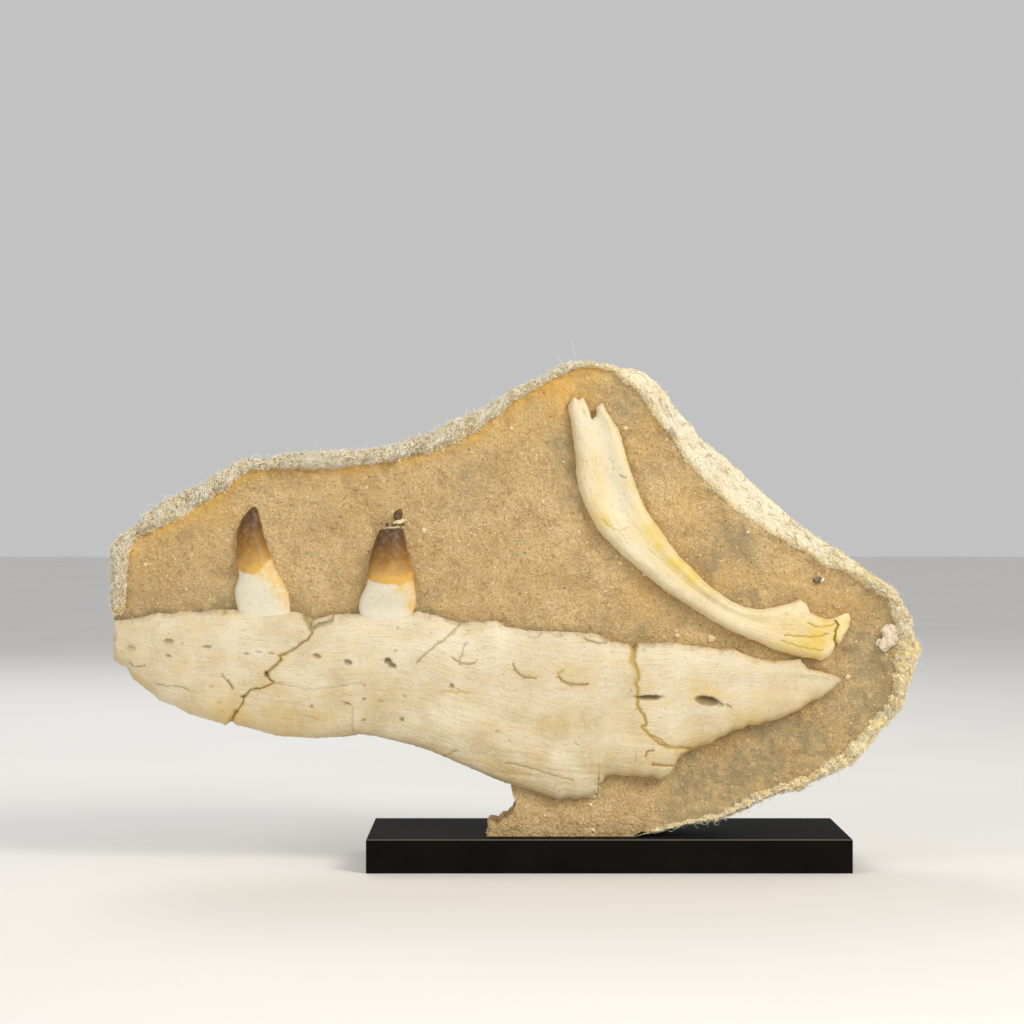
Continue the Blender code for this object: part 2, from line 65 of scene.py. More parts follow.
# The grid on the slab's face, and the slab's depths
STEP_MM = 0.62
MIDDLE_COLUMN = 516.5
FLOOR_ROW = 836.0
BASE_HEIGHT_MM = 21.0
BASE_DEPTH_MM = 120.0
FACE_Y_MM = -43.0
ROCK_BACK_MM = 0.0
FOOT_IN_BASE_MM = 9.7
FOOT_ROW = FLOOR_ROW + FOOT_IN_BASE_MM / STEP_MM
FOOT_TOP_ROW = 796.0
FOOT_HEIGHT_MM = 0.5
BONE_EDGE_MM = 2.5
JAW_HOLD_MM = 13.0
CURVED_HOLD_MM = 9.0
TOOTH_HOLD_MM = 8.0

# Outer edge of the jacket, clockwise from the foot's left corner, where its ends meet out of sight
JACKET_OUTLINE: Points = (
    (522, FOOT_ROW), (521, 806), (515, 788), (488, 770), (461, 755), (432, 742), (372, 726), (349, 726),
    (317, 728), (283, 726), (257, 720), (225, 715), (189, 704), (162, 690), (143, 676), (131, 664),
    (119, 655), (118, 616), (113, 612), (113, 548), (117, 541), (123, 535), (140, 523), (145, 515),
    (151, 513), (163, 503), (173, 497), (187, 491), (200, 488), (220, 473), (231, 469), (240, 462),
    (252, 460), (268, 460), (281, 456), (377, 450), (390, 448), (404, 443), (414, 438), (432, 434),
    (461, 418), (487, 408), (510, 393), (546, 376), (557, 369), (571, 364), (581, 362), (595, 363),
    (611, 366), (622, 370), (634, 369), (644, 372), (656, 382), (670, 403), (684, 420), (691, 426),
    (698, 437), (734, 466), (779, 508), (799, 525), (818, 539), (855, 563), (895, 592), (900, 603),
    (906, 612), (909, 620), (910, 630), (913, 634), (920, 649), (920, 655), (914, 664), (913, 672),
    (908, 688), (907, 698), (900, 710), (882, 729), (871, 742), (863, 754), (853, 764), (839, 771),
    (819, 779), (800, 790), (779, 793), (765, 798), (735, 813), (718, 820), (697, 822), (635, 836),
    (635, FOOT_ROW),
)
# The first and last point of the outline that have no rim in front
FREE_FROM, FREE_TO = (522, FOOT_ROW), (118, 616)

# Edge of the rock: the jacket's inner rim, the free edge at the lower left, and the foot
ROCK_OUTLINE: Points = (
    (115, 616), (125, 612), (126, 580), (129, 552), (139, 536), (184, 518), (197, 506), (226, 488),
    (234, 479), (249, 472), (283, 467), (317, 469), (338, 468), (396, 460), (414, 455), (435, 451),
    (456, 443), (472, 435), (498, 414), (512, 401), (558, 374), (572, 368), (583, 366), (597, 367),
    (612, 371), (625, 379), (643, 397), (658, 421), (670, 434), (686, 461), (699, 477), (726, 503),
    (776, 538), (807, 553), (824, 564), (844, 570), (869, 587), (883, 595), (892, 607), (895, 621),
    (894, 649), (895, 671), (894, 685), (890, 698), (873, 722), (850, 749), (816, 773), (738, 803),
    (718, 813), (640, 832), (634.5, 835.5), (634.5, FOOT_ROW), (486, FOOT_ROW), (486, 837), (491, 830),
    (488, 825), (490, 822), (498, 824), (502, 818), (508, 817), (513, 813), (516, 805), (510, 782),
    (489, 767), (461, 757), (432, 744), (372, 728), (317, 731), (283, 729), (257, 723), (225, 718),
    (189, 707), (160, 693), (141, 678), (129, 665), (116, 656),
)

JAW_OUTLINE: Points = (
    (114, 620), (140, 618), (158, 612), (171, 614), (181, 611), (200, 612), (213, 609), (273, 609),
    (304, 613), (308, 617), (313, 620), (332, 614), (400, 613), (419, 611), (461, 623), (472, 621),
    (481, 622), (496, 620), (505, 626), (525, 630), (576, 632), (599, 634), (610, 641), (628, 643.5),
    (633, 648), (637, 643), (670, 642), (718, 649), (733, 648), (741, 653), (755, 658), (772, 661),
    (789, 660), (800, 658), (803, 663), (809, 669), (831, 674), (839, 677), (841, 680), (837, 685),
    (831, 690), (818, 699), (810, 701), (799, 710), (790, 713), (779, 719), (766, 721), (758, 725),
    (748, 725), (741, 729), (732, 730), (725, 735), (717, 738), (711, 743), (699, 746), (687, 752),
    (677, 759), (675, 766), (670, 774), (660, 779), (652, 776), (643, 777), (632, 775), (623, 776),
    (614, 774), (605, 777), (603, 781), (598, 784), (601, 788), (599, 793), (595, 794), (596, 798),
    (583, 797), (576, 799), (567, 797), (559, 800), (535, 791), (501, 781), (432, 751), (413, 745),
    (385, 738), (372, 735), (359, 734), (349, 736), (317, 738), (283, 736), (270, 734), (244, 726),
    (237, 725), (232, 721), (225, 725), (218, 722), (189, 714), (180, 708), (160, 700), (133, 678),
    (126, 666), (120, 664), (114, 660),
)
# The upper edge from left to right, and the lower edge likewise
JAW_TOP: Points = tuple(sorted(JAW_OUTLINE[: JAW_OUTLINE.index((841, 680)) + 1]))
JAW_LOWER: Points = tuple(sorted(JAW_OUTLINE[JAW_OUTLINE.index((841, 680)) :]))
# How far the jaw's face swells out of its edge, in millimetres, by column
JAW_BULGE: Points = (
    (114, 6.5), (160, 9.0), (300, 10.5), (470, 11.0), (620, 10.0), (720, 8.5), (790, 6.0), (840, 1.5),
)

CURVED_OUTLINE: Points = (
    (568, 406), (571, 400), (574, 397), (578, 400), (583, 397), (585, 400), (592, 419), (596, 416),
    (597, 411), (596, 407), (601, 403), (604, 405), (606, 410), (619, 430), (629, 466), (640, 497),
    (647, 511), (678, 555), (691, 567), (703, 580), (717, 591), (731, 601), (745, 607), (759, 609),
    (773, 607), (787, 604), (800, 599), (806, 604), (810, 612), (817, 616), (827, 619), (838, 616),
    (845, 613), (849, 613), (850, 618), (849, 626), (838, 645), (836, 642), (832, 652), (828, 657),
    (821, 660), (813, 658), (796, 656), (773, 649), (754, 640), (734, 632), (714, 622), (664, 590),
    (622, 555), (599, 531), (591, 517), (584, 503), (579, 489), (576, 475), (576, 461), (572, 427),
    (569, 413),
)
# Pairs of points across the curved bone, outer edge then inner edge, from its notched top to its split end
CURVED_PAIRS: tuple[tuple[tuple[float, float], tuple[float, float]], ...] = (
    ((570, 398), (603, 403)), ((568, 409), (608, 411)), ((570, 418), (612, 418)), ((572, 427), (616, 425)),
    ((574, 444), (622, 441)), ((576, 461), (627, 459)), ((576, 475), (631, 470)), ((579, 489), (635, 481)),
    ((584, 503), (638, 490)), ((591, 517), (641, 499)), ((599, 531), (646, 508)), ((611, 543), (652, 517)),
    ((622, 555), (659, 528)), ((636, 567), (667, 539)), ((650, 578), (676, 552)), ((664, 590), (688, 564)),
    ((681, 601), (700, 577)), ((698, 612), (712, 588)), ((714, 622), (726, 598)), ((734, 632), (743, 606)),
    ((754, 640), (762, 609)), ((773, 649), (783, 605)), ((796, 656), (800, 599)), ((813, 658), (812, 613)),
    ((822, 660), (822, 618)), ((830, 653), (832, 618)), ((838, 645), (842, 615)), ((846, 634), (850, 618)),
)
CURVED_BULGE: Points = (
    (0.0, 4.0), (0.15, 6.0), (0.45, 7.5), (0.7, 7.0), (0.85, 6.0), (0.94, 5.0), (1.0, 2.0),
)

# Teeth: row, left column and right column of each section, from the tip down
FRONT_TOOTH: ToothRows = (
    (507, 252.5, 256), (512, 247.5, 258.5), (519, 242, 260), (527, 239, 262), (535, 237, 263.5),
    (544, 237, 266.5), (553, 236.5, 270), (562, 236, 273), (571, 239.5, 276.5), (579, 239, 282),
    (588, 235, 286.5), (597, 235.5, 289.5), (608, 238, 290), (612, 239, 290), (618, 241, 288),
)
REAR_TOOTH: ToothRows = (
    (529, 380.5, 403), (536, 377, 405), (547, 373, 407), (559, 370, 409.5), (571, 368, 412.5),
    (581, 368, 413.5), (588, 365, 415), (597, 360.5, 416), (605, 359, 415.5), (610, 359.5, 414),
    (613, 360, 413), (619, 362, 412),
)
TOOTH_TIP: ToothRows = ((508.5, 399, 401.5), (511, 395, 403), (515, 393, 403), (519.5, 394.5, 402.5))

# Broad lumps and hollows of the rock's face: column, row, radius in steps, height in millimetres
ROCK_LUMPS: Spots = (
    (180, 570, 60, 1.2), (310, 520, 45, -1.4), (335, 575, 40, -1.5), (440, 500, 55, 1.4), (520, 570, 60, 1.6),
    (540, 440, 50, -1.2), (640, 600, 45, -1.6), (560, 520, 40, -1.4), (690, 500, 45, -2.0),
    (740, 550, 40, 1.4),
    (660, 430, 35, 1.2), (840, 600, 35, 1.2), (870, 660, 40, -1.5), (720, 640, 30, -1.5),
    (800, 740, 45, -2.5),
    (700, 790, 40, -2.0), (560, 820, 35, -1.2), (430, 580, 35, -1.0),
)


def on_face(points: Sequence[Sequence[float]]) -> Array:
    """Turns grid points into millimetres on the slab's face.

    Args:
        points: (column, row) of each point.

    Returns:
        An array of (x, z) in millimetres.
    """
    grid = np.asarray(points, float)
    x = (grid[:, 0] - MIDDLE_COLUMN) * STEP_MM
    return np.stack([x, BASE_HEIGHT_MM + (FLOOR_ROW - grid[:, 1]) * STEP_MM], 1)


def column_of(x: Array) -> Array:
    """The grid column of this x in millimetres."""
    return x / STEP_MM + MIDDLE_COLUMN


def row_of(z: Array) -> Array:
    """The grid row of this z in millimetres."""
    return FLOOR_ROW - (z - BASE_HEIGHT_MM) / STEP_MM


def broken_line(line: Points, where: Array) -> Array:
    """The value of a line of (place, value) points at each place."""
    places, values = zip(*line)
    return np.interp(where, places, values)


def eased(low: float, high: float, value: Array) -> Array:
    """0 up to low, 1 from high, and smooth between."""
    share = np.clip((value - low) / (high - low), 0.0, 1.0)
    return share * share * (3 - 2 * share)


def fading(distance: Array, reach: float) -> Array:
    """1 at no distance, fading like a bell to nothing beyond about twice the reach."""
    return np.exp(-((distance / reach) ** 2))


def hashed(ix: Array, iy: Array, seed: int) -> Array:
    """A fixed pseudo-random value from 0 to 1 for each lattice point.

    Args:
        ix: Lattice column of each point.
        iy: Lattice row of each point.
        seed: Number that sets this pattern apart from others.

    Returns:
        The values, in the shape of ix.
    """
    mixed = (ix * 374761393 + iy * 668265263 + seed * 974634777) & 0xFFFFFFFF
    mixed = ((mixed ^ (mixed >> 13)) * 1274126177) & 0xFFFFFFFF
    return ((mixed ^ (mixed >> 16)) & 0xFFFFFF) / 0xFFFFFF


def waves(x: Array, z: Array, cell: float, seed: int, octaves: int = 1) -> Array:
    """Smooth lattice noise between about -1 and 1.

    Args:
        x: Places across, in millimetres.
        z: Places up, in millimetres.
        cell: Size of the largest lumps in millimetres.
        seed: Number that sets this pattern apart from others.
        octaves: How many finer layers are added, each half as wide and half as high.

    Returns:
        The noise at each point.
    """
    total, weight, size = np.zeros(np.shape(x)), 1.0, cell
    for octave in range(octaves):
        u, v = x / size + 37.3 * octave, z / size - 11.9 * octave
        iu, iv = np.floor(u).astype(np.int64), np.floor(v).astype(np.int64)
        fu, fv = u - iu, v - iv
        fu, fv = fu * fu * (3 - 2 * fu), fv * fv * (3 - 2 * fv)
        low = hashed(iu, iv, seed) * (1 - fu) + hashed(iu + 1, iv, seed) * fu
        high = hashed(iu, iv + 1, seed) * (1 - fu) + hashed(iu + 1, iv + 1, seed) * fu
        total += weight * (2 * (low * (1 - fv) + high * fv) - 1)
        weight, size = weight * 0.5, size * 0.5
    return total


def cloudy(x: Array, z: Array, cell: float, seed: int) -> Array:
    """Patchy noise from 0 to 1, with lumps as large as the cell."""
    return np.clip(0.5 + 0.6 * waves(x, z, cell, seed, 4), 0, 1)


def lengths_to(path: Array) -> Array:
    """Length along an open path to each of its points."""
    return np.concatenate([[0.0], np.cumsum(np.hypot(*np.diff(path, axis=0).T))])


def to_path(
    x: Array, z: Array, path: Array, reach: float = math.inf, closed: bool = False
) -> tuple[Array, Array, Array]:
    """How far each point is from a path, and where on it.

    Args:
        x: First coordinate of each point.
        z: Second coordinate of each point.
        path: The path's points.
        reach: The largest distance that matters.
        closed: Whether the path's last point joins its first.

    Returns:
        The distance, at most reach, the length along the path to the nearest place, and the side (+1 left).
    """
    starts, ends = (path, np.roll(path, -1, axis=0)) if closed else (path[:-1], path[1:])
    run = ends - starts
    size = np.maximum(np.hypot(*run.T), 1e-9)
    lengths = np.cumsum(size) - size
    best, along, side = np.full(np.shape(x), float(reach)), np.zeros_like(x), np.ones_like(x)
    for first in range(0, len(starts), 8):
        part = slice(first, first + 8)
        low = np.minimum(starts[part], ends[part]).min(0) - reach
        high = np.maximum(starts[part], ends[part]).max(0) + reach
        close = np.flatnonzero((x > low[0]) & (x < high[0]) & (z > low[1]) & (z < high[1]))
        gap_x, gap_z = x[close, None] - starts[part, 0], z[close, None] - starts[part, 1]
        share = np.clip((gap_x * run[part, 0] + gap_z * run[part, 1]) / size[part] ** 2, 0, 1)
        away = np.hypot(gap_x - share * run[part, 0], gap_z - share * run[part, 1])
        pick, each = away.argmin(1), np.arange(len(close))
        kept = away[each, pick] < best[close]
        close, pick, each = close[kept], pick[kept], each[kept]
        best[close] = away[each, pick]
        along[close] = lengths[first + pick] + share[each, pick] * size[first + pick]
        turn = run[first + pick, 0] * gap_z[each, pick] - run[first + pick, 1] * gap_x[each, pick]
        side[close] = np.sign(turn)
    return best, along, side


def near_path(x: Array, z: Array, path: Array, reach: float, closed: bool = False) -> Array:
    """Distance to a path where it is within reach, and the reach elsewhere."""
    return to_path(x, z, path, reach, closed)[0]


def inside(x: Array, z: Array, outline: Array) -> Array:
    """Which points lie inside a closed outline."""
    found = np.zeros(np.shape(x), bool)
    for (ax, az), (bx, bz) in zip(outline, np.roll(outline, -1, axis=0)):
        crosses = (az > z) != (bz > z)
        found ^= crosses & (x < ax + (z - az) * (bx - ax) / ((bz - az) or 1e-9))
    return found


def resampled(path: Array, spacing: float, closed: bool = True) -> Array:
    """The path with a point about every spacing, its corners kept.

    Args:
        path: The path's points.
        spacing: Wanted distance between points.
        closed: Whether the last point joins the first.

    Returns:
        The new points.
    """
    found = []
    ends = np.roll(path, -1, axis=0) if closed else path[1:]
    for start, end in zip(path, ends):
        pieces = max(1, round(float(np.hypot(*(end - start))) / spacing))
        found += [start + (end - start) * step / pieces for step in range(pieces)]
    if not closed:
        found.append(path[-1])
    return np.array(found)


def rounded_corners(path: Array, rounds: int = 2, closed: bool = True) -> Array:
    """The path with its corners cut again and again, so that it runs smoothly."""
    for _ in range(rounds):
        after = np.roll(path, -1, axis=0) if closed else path[1:]
        here = path if closed else path[:-1]
        cut = np.stack([here * 0.75 + after * 0.25, here * 0.25 + after * 0.75], 1).reshape(-1, path.shape[1])
        path = cut if closed else np.concatenate([path[:1], cut[1:-1], path[-1:]])
    return path


def outward(path: Array) -> Array:
    """Unit normals that point out of a closed path."""
    run = np.roll(path, -1, axis=0) - np.roll(path, 1, axis=0)
    normal = np.stack([run[:, 1], -run[:, 0]], 1) / np.maximum(np.hypot(run[:, 0], run[:, 1]), 1e-9)[:, None]
    area = np.sum(path[:, 0] * np.roll(path[:, 1], -1) - np.roll(path[:, 0], -1) * path[:, 1])
    return normal * (1 if area > 0 else -1)


def frayed(path: Array, amount: float, cell: float, seed: int) -> Array:
    """A closed path moved in and out by noise along its own length."""
    along = lengths_to(path)
    return path + outward(path) * (waves(along, np.zeros_like(along), cell, seed, 3) * amount)[:, None]


def evened(values: Array, reach: int) -> Array:
    """Values round a closed path, each averaged with its neighbours out to this many places."""
    kernel = np.hanning(2 * reach + 3)[1:-1]
    around = np.concatenate([values[-reach:], values, values[:reach]])
    return np.convolve(around, kernel / kernel.sum(), "valid")


class Piece(Enum):
    """Material slot names, by what they are."""

    BASE = "black_base"
    PLASTER = "plaster"
    ROCK = "phosphate_rock"
    BONE = "fossil_bone"
    TOOTH = "tooth"


def set_in_scene(name: str, data: bpy.types.ID) -> Object:
    """Links a new object of this data to the scene."""
    made = bpy.data.objects.new(name, data)
    bpy.context.scene.collection.objects.link(made)
    return made


def make_object(
    name: str,
    points_mm: Array,
    triangles: Array,
    marks: dict[str, Array],
    material: Material,
    crease_degrees: float = 60.0,
) -> Object:
    """Makes a smooth triangle mesh with a value per vertex for each mark.

    Args:
        name: The piece's name.
        points_mm: Vertices in millimetres, in the frame of the CAD.
        triangles: Vertex numbers of each triangle.
        marks: Values per vertex that the material reads by name.
        material: The piece's finish.
        crease_degrees: Edges sharper than this stay sharp.

    Returns:
        The new object.
    """
    mesh = bpy.data.meshes.new(name)
    mesh.vertices.add(len(points_mm))
    mesh.vertices.foreach_set("co", (points_mm * 0.001).astype(np.float32).ravel())
    mesh.loops.add(3 * len(triangles))
    mesh.loops.foreach_set("vertex_index", triangles.astype(np.int32).ravel())
    mesh.polygons.add(len(triangles))
    mesh.polygons.foreach_set("loop_start", np.arange(0, 3 * len(triangles), 3, dtype=np.int32))
    mesh.update(calc_edges=True)
    mesh.validate()
    mesh.polygons.foreach_set("use_smooth", np.ones(len(mesh.polygons), bool))
    mesh.set_sharp_from_angle(angle=math.radians(crease_degrees))
    for mark, values in marks.items():
        layer = mesh.attributes.new(mark, "FLOAT", "POINT")
        layer.data.foreach_set("value", values.astype(np.float32))
    mesh.materials.append(material)
    log.info("%s: %d triangles", name, len(triangles))
    return set_in_scene(name, mesh)


def hand_over(piece: Object, slot: Piece, *nodes: str) -> None:
    """Lets the piece ride on the part, in place of these CAD nodes.

    Args:
        piece: The finished piece.
        slot: A material slot; not used.
        nodes: The CAD nodes that it stands for.
    """
    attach(piece, "root")
    if nodes:
        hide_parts(*nodes)


@dataclass(frozen=True)
class Relief:
    """A carved sheet: an outline filled with triangles, raised by a height, with walls and a back.

    Attributes:
        outline: The closed edge in millimetres.
        spacing: Distance between points in plain places.
        fine_spacing: Distance between points where the surface has small forms.
        back_mm: Depth of its flat back.
        seed: Number that sets its jitter apart.
        wall_rough_mm: How rough its walls are.
    """

    outline: Array
    spacing: float
    fine_spacing: float
    back_mm: float
    seed: int
    wall_rough_mm: float = 0.5

    def scattered(self, spacing: float, margin: float) -> Array:
        """Points on a jittered lattice inside the outline, a little away from it."""
        low, high = self.outline.min(0), self.outline.max(0)
        columns = np.arange(math.floor(low[0] / spacing), math.ceil(high[0] / spacing) + 1)
        rows = np.arange(math.floor(low[1] / spacing), math.ceil(high[1] / spacing) + 1)
        iu, iv = (grid.ravel().astype(np.int64) for grid in np.meshgrid(columns, rows))
        x = (iu + 0.5 * (iv % 2) + 0.45 * (hashed(iu, iv, self.seed) - 0.5)) * spacing
        z = (iv + 0.45 * (hashed(iu, iv, self.seed + 1) - 0.5)) * spacing
        kept = inside(x, z, self.outline)
        x, z = x[kept], z[kept]
        kept = near_path(x, z, self.outline, 2 * margin, closed=True) > margin
        return np.stack([x[kept], z[kept]], 1)

    def within(self, flat: Array, faces: Array) -> Array:
        """The triangles that lie inside the outline."""
        middle = flat[faces].mean(1)
        return faces[inside(middle[:, 0], middle[:, 1], self.outline)]

    def points(self, is_fine: OverFace | None) -> Array:
        """The edge's points and all points inside, closer together where is_fine says so."""
        plain = self.scattered(self.spacing, 0.45 * self.spacing)
        if is_fine is None:
            return np.concatenate([self.outline, plain])
        plain = plain[~is_fine(plain[:, 0], plain[:, 1])]
        fine = self.scattered(self.fine_spacing, 0.45 * self.fine_spacing)
        fine = fine[is_fine(fine[:, 0], fine[:, 1])]
        return np.concatenate([self.outline, plain, fine])

    def build(
        self,
        name: str,
        height: OverFace,
        marks: Callable[[Array, Array], dict[str, Array]],
        material: Material,
        is_fine: OverFace | None = None,
    ) -> Object:
        """Makes the sheet.

        Args:
            name: The piece's name.
            height: Height out of the rock's face in millimetres, for each (x, z).
            marks: Values per vertex for each (x, z).
            material: The finish.
            is_fine: Where the fine spacing is used.

        Returns:
            The new object.
        """
        flat = self.points(is_fine)
        edge = list(range(len(self.outline)))
        filled = delaunay_2d_cdt([Vector(point) for point in flat.tolist()], [], [edge], 1, 1e-5, False)
        flat = np.array([tuple(vert) for vert in filled[0]])
        front = self.within(flat, np.array(filled[2]))
        corners = flat[front]
        turn = np.cross(corners[:, 1] - corners[:, 0], corners[:, 2] - corners[:, 0])
        front = np.where((turn < 0)[:, None], front[:, ::-1], front)
        raised = height(flat[:, 0], flat[:, 1])
        points = np.stack([flat[:, 0], FACE_Y_MM - raised, flat[:, 1]], 1)
        sides = np.concatenate([front[:, [0, 1]], front[:, [1, 2]], front[:, [2, 0]]])
        codes = sides[:, 0].astype(np.int64) * len(flat) + sides[:, 1]
        back_codes = sides[:, 1].astype(np.int64) * len(flat) + sides[:, 0]
        rim = sides[~np.isin(codes, back_codes)]
        used = np.unique(rim)
        run = flat[rim[:, 1]] - flat[rim[:, 0]]
        out = np.zeros_like(flat)
        for end in (0, 1):
            np.add.at(out, rim[:, end], np.stack([run[:, 1], -run[:, 0]], 1))
        out = out[used] / np.maximum(np.hypot(*out[used].T), 1e-9)[:, None]
        rings, ids = [points], [used]
        for share in np.linspace(0, 1, 8)[1:]:
            ring = points[used].copy()
            ring[:, 1] = ring[:, 1] * (1 - share) + self.back_mm * share
            rough = waves(ring[:, 0] + 0.6 * ring[:, 1], ring[:, 2] - 0.8 * ring[:, 1], 5, self.seed + 7, 3)
            ring[:, [0, 2]] += out * (self.wall_rough_mm * math.sin(math.pi * share) * (rough - 0.4))[:, None]
            ids.append(sum(map(len, rings)) + np.arange(len(used)))
            rings.append(ring)
        walls = []
        first, second = np.searchsorted(used, rim[:, 0]), np.searchsorted(used, rim[:, 1])
        for upper, lower in zip(ids, ids[1:]):
            walls.append(np.stack([upper[second], upper[first], lower[first]], 1))
            walls.append(np.stack([upper[second], lower[first], lower[second]], 1))
        front_count = sum(map(len, rings))
        cap = delaunay_2d_cdt([Vector(point) for point in self.outline.tolist()], [], [edge], 1, 1e-5, False)
        cap_flat = np.array([tuple(vert) for vert in cap[0]])
        cap_points = np.stack([cap_flat[:, 0], np.full(len(cap_flat), self.back_mm), cap_flat[:, 1]], 1)
        cap_faces = self.within(cap_flat, np.array(cap[2]))[:, ::-1] + front_count
        everything = np.concatenate([*rings, cap_points])
        values = marks(everything[:, 0], everything[:, 2])
        return make_object(name, everything, np.concatenate([front, *walls, cap_faces]), values, material)


def linear(hex_colour: str) -> tuple[float, float, float, float]:
    """Turns an sRGB hex colour into linear red, green, blue and alpha."""
    parts = [int(hex_colour[start : start + 2], 16) / 255 for start in (1, 3, 5)]
    return *(part / 12.92 if part <= 0.04045 else ((part + 0.055) / 1.055) ** 2.4 for part in parts), 1.0


def add_node(
    tree: bpy.types.NodeTree,
    kind: str,
    settings: dict[str, object] | None = None,
    inputs: dict[str | int, object] | None = None,
) -> bpy.types.Node:
    """Adds a node, sets it and links it.

    Args:
        tree: The node tree.
        kind: Blender's name of the node's type.
        settings: Properties of the node.
        inputs: A value or another node's output for each named or numbered input.

    Returns:
        The new node.
    """
    node = tree.nodes.new(kind)
    for key, value in (settings or {}).items():
        setattr(node, key, value)
    for key, value in (inputs or {}).items():
        if isinstance(value, Socket):
            tree.links.new(value, node.inputs[key])
        else:
            node.inputs[key].default_value = value
    return node


@dataclass(frozen=True)
class Patches:
    """A patchy pattern: cloudy noise cut between two levels.

    Attributes:
        size_mm: Real size of a patch.
        low: Noise value where the pattern begins.
        high: Noise value where it is full.
        full: How strong it is where it is full.
        detail: How many finer layers it has.
    """

    size_mm: float
    low: float
    high: float
    full: float = 1.0
    detail: float = 3.0


class Surface:
    """A material being put together: its node tree, its shader and its place coordinates."""

    def __init__(self, name: str, marks: Sequence[str] = (), **shader: float) -> None:
        """Starts a Principled material.

        Args:
            name: The material's name.
            marks: The values per vertex that it reads.
            shader: Values of the shader's own sockets, with underscores for spaces.
        """
        self.material = bpy.data.materials.new(name)
        self.material.use_nodes = True
        self.tree = self.material.node_tree
        self.shader = self.tree.nodes["Principled BSDF"]
        for socket, value in shader.items():
            self.shader.inputs[socket.replace("_", " ")].default_value = value
        self.place = add_node(self.tree, "ShaderNodeTexCoord").outputs["Object"]
        self.marks: dict[str, Socket] = {}
        for mark in marks:
            reader = add_node(self.tree, "ShaderNodeAttribute", {"attribute_name": mark})
            self.marks[mark] = reader.outputs["Fac"]

    def along_grain(self, longer: float) -> Socket:
        """Place coordinates that run with the bone's grain, so that patches come out this much longer."""
        grain = {0: self.marks["along"], 1: self.marks["across"]}
        flat = add_node(self.tree, "ShaderNodeCombineXYZ", inputs=grain)
        inputs = {"Vector": flat.outputs[0], "Scale": (0.001 / longer, 0.001, 0.001)}
        return add_node(self.tree, "ShaderNodeMapping", inputs=inputs).outputs[0]

    def patched(self, patches: Patches, place: Socket | None = None) -> Socket:
        """The strength of a patchy pattern at each place.

        Args:
            patches: The pattern.
            place: Coordinates to use in place of the object's own.

        Returns:
            The output that holds the strength.
        """
        noise = add_node(
            self.tree,
            "ShaderNodeTexNoise",
            inputs={"Vector": place or self.place, "Scale": 1000 / patches.size_mm, "Detail": patches.detail},
        )
        levels = {"Value": noise.outputs["Fac"], "From Min": patches.low, "From Max": patches.high}
        cut = add_node(self.tree, "ShaderNodeMapRange", {"clamp": True}, levels | {"To Max": patches.full})
        return cut.outputs["Result"]

    def painted(self, ground: Paint, layers: Sequence[tuple[Socket, Paint]]) -> Socket:
        """A ground colour with layers over it.

        Args:
            ground: The hex colour or the output underneath.
            layers: The strength of each layer, and its hex colour or output.

        Returns:
            The output that holds the colour.
        """
        colour = ground
        for strength, paint in layers:
            lower, upper = (linear(each) if isinstance(each, str) else each for each in (colour, paint))
            inputs = {0: strength, 6: lower, 7: upper}
            colour = add_node(self.tree, "ShaderNodeMix", {"data_type": "RGBA"}, inputs).outputs[2]
        return colour

    def carved(self, heights: Sequence[tuple[Socket, float]]) -> Socket:
        """A normal bent by each height in turn.

        Args:
            heights: An output that holds a height from 0 to 1, and its depth in millimetres.

        Returns:
            The output that holds the normal.
        """
        normal = None
        for height, depth_mm in heights:
            inputs = {"Height": height, "Distance": depth_mm * 0.001}
            before = {} if normal is None else {"Normal": normal}
            normal = add_node(self.tree, "ShaderNodeBump", inputs=inputs | before).outputs["Normal"]
        return normal

    def finish(self, colour: object, roughness: object, normal: object = None) -> Material:
        """Links the results to the shader and gives the material."""
        for socket, value in (("Base Color", colour), ("Roughness", roughness), ("Normal", normal)):
            if isinstance(value, Socket):
                self.tree.links.new(value, self.shader.inputs[socket])
            elif value is not None:
                self.shader.inputs[socket].default_value = value
        return self.material


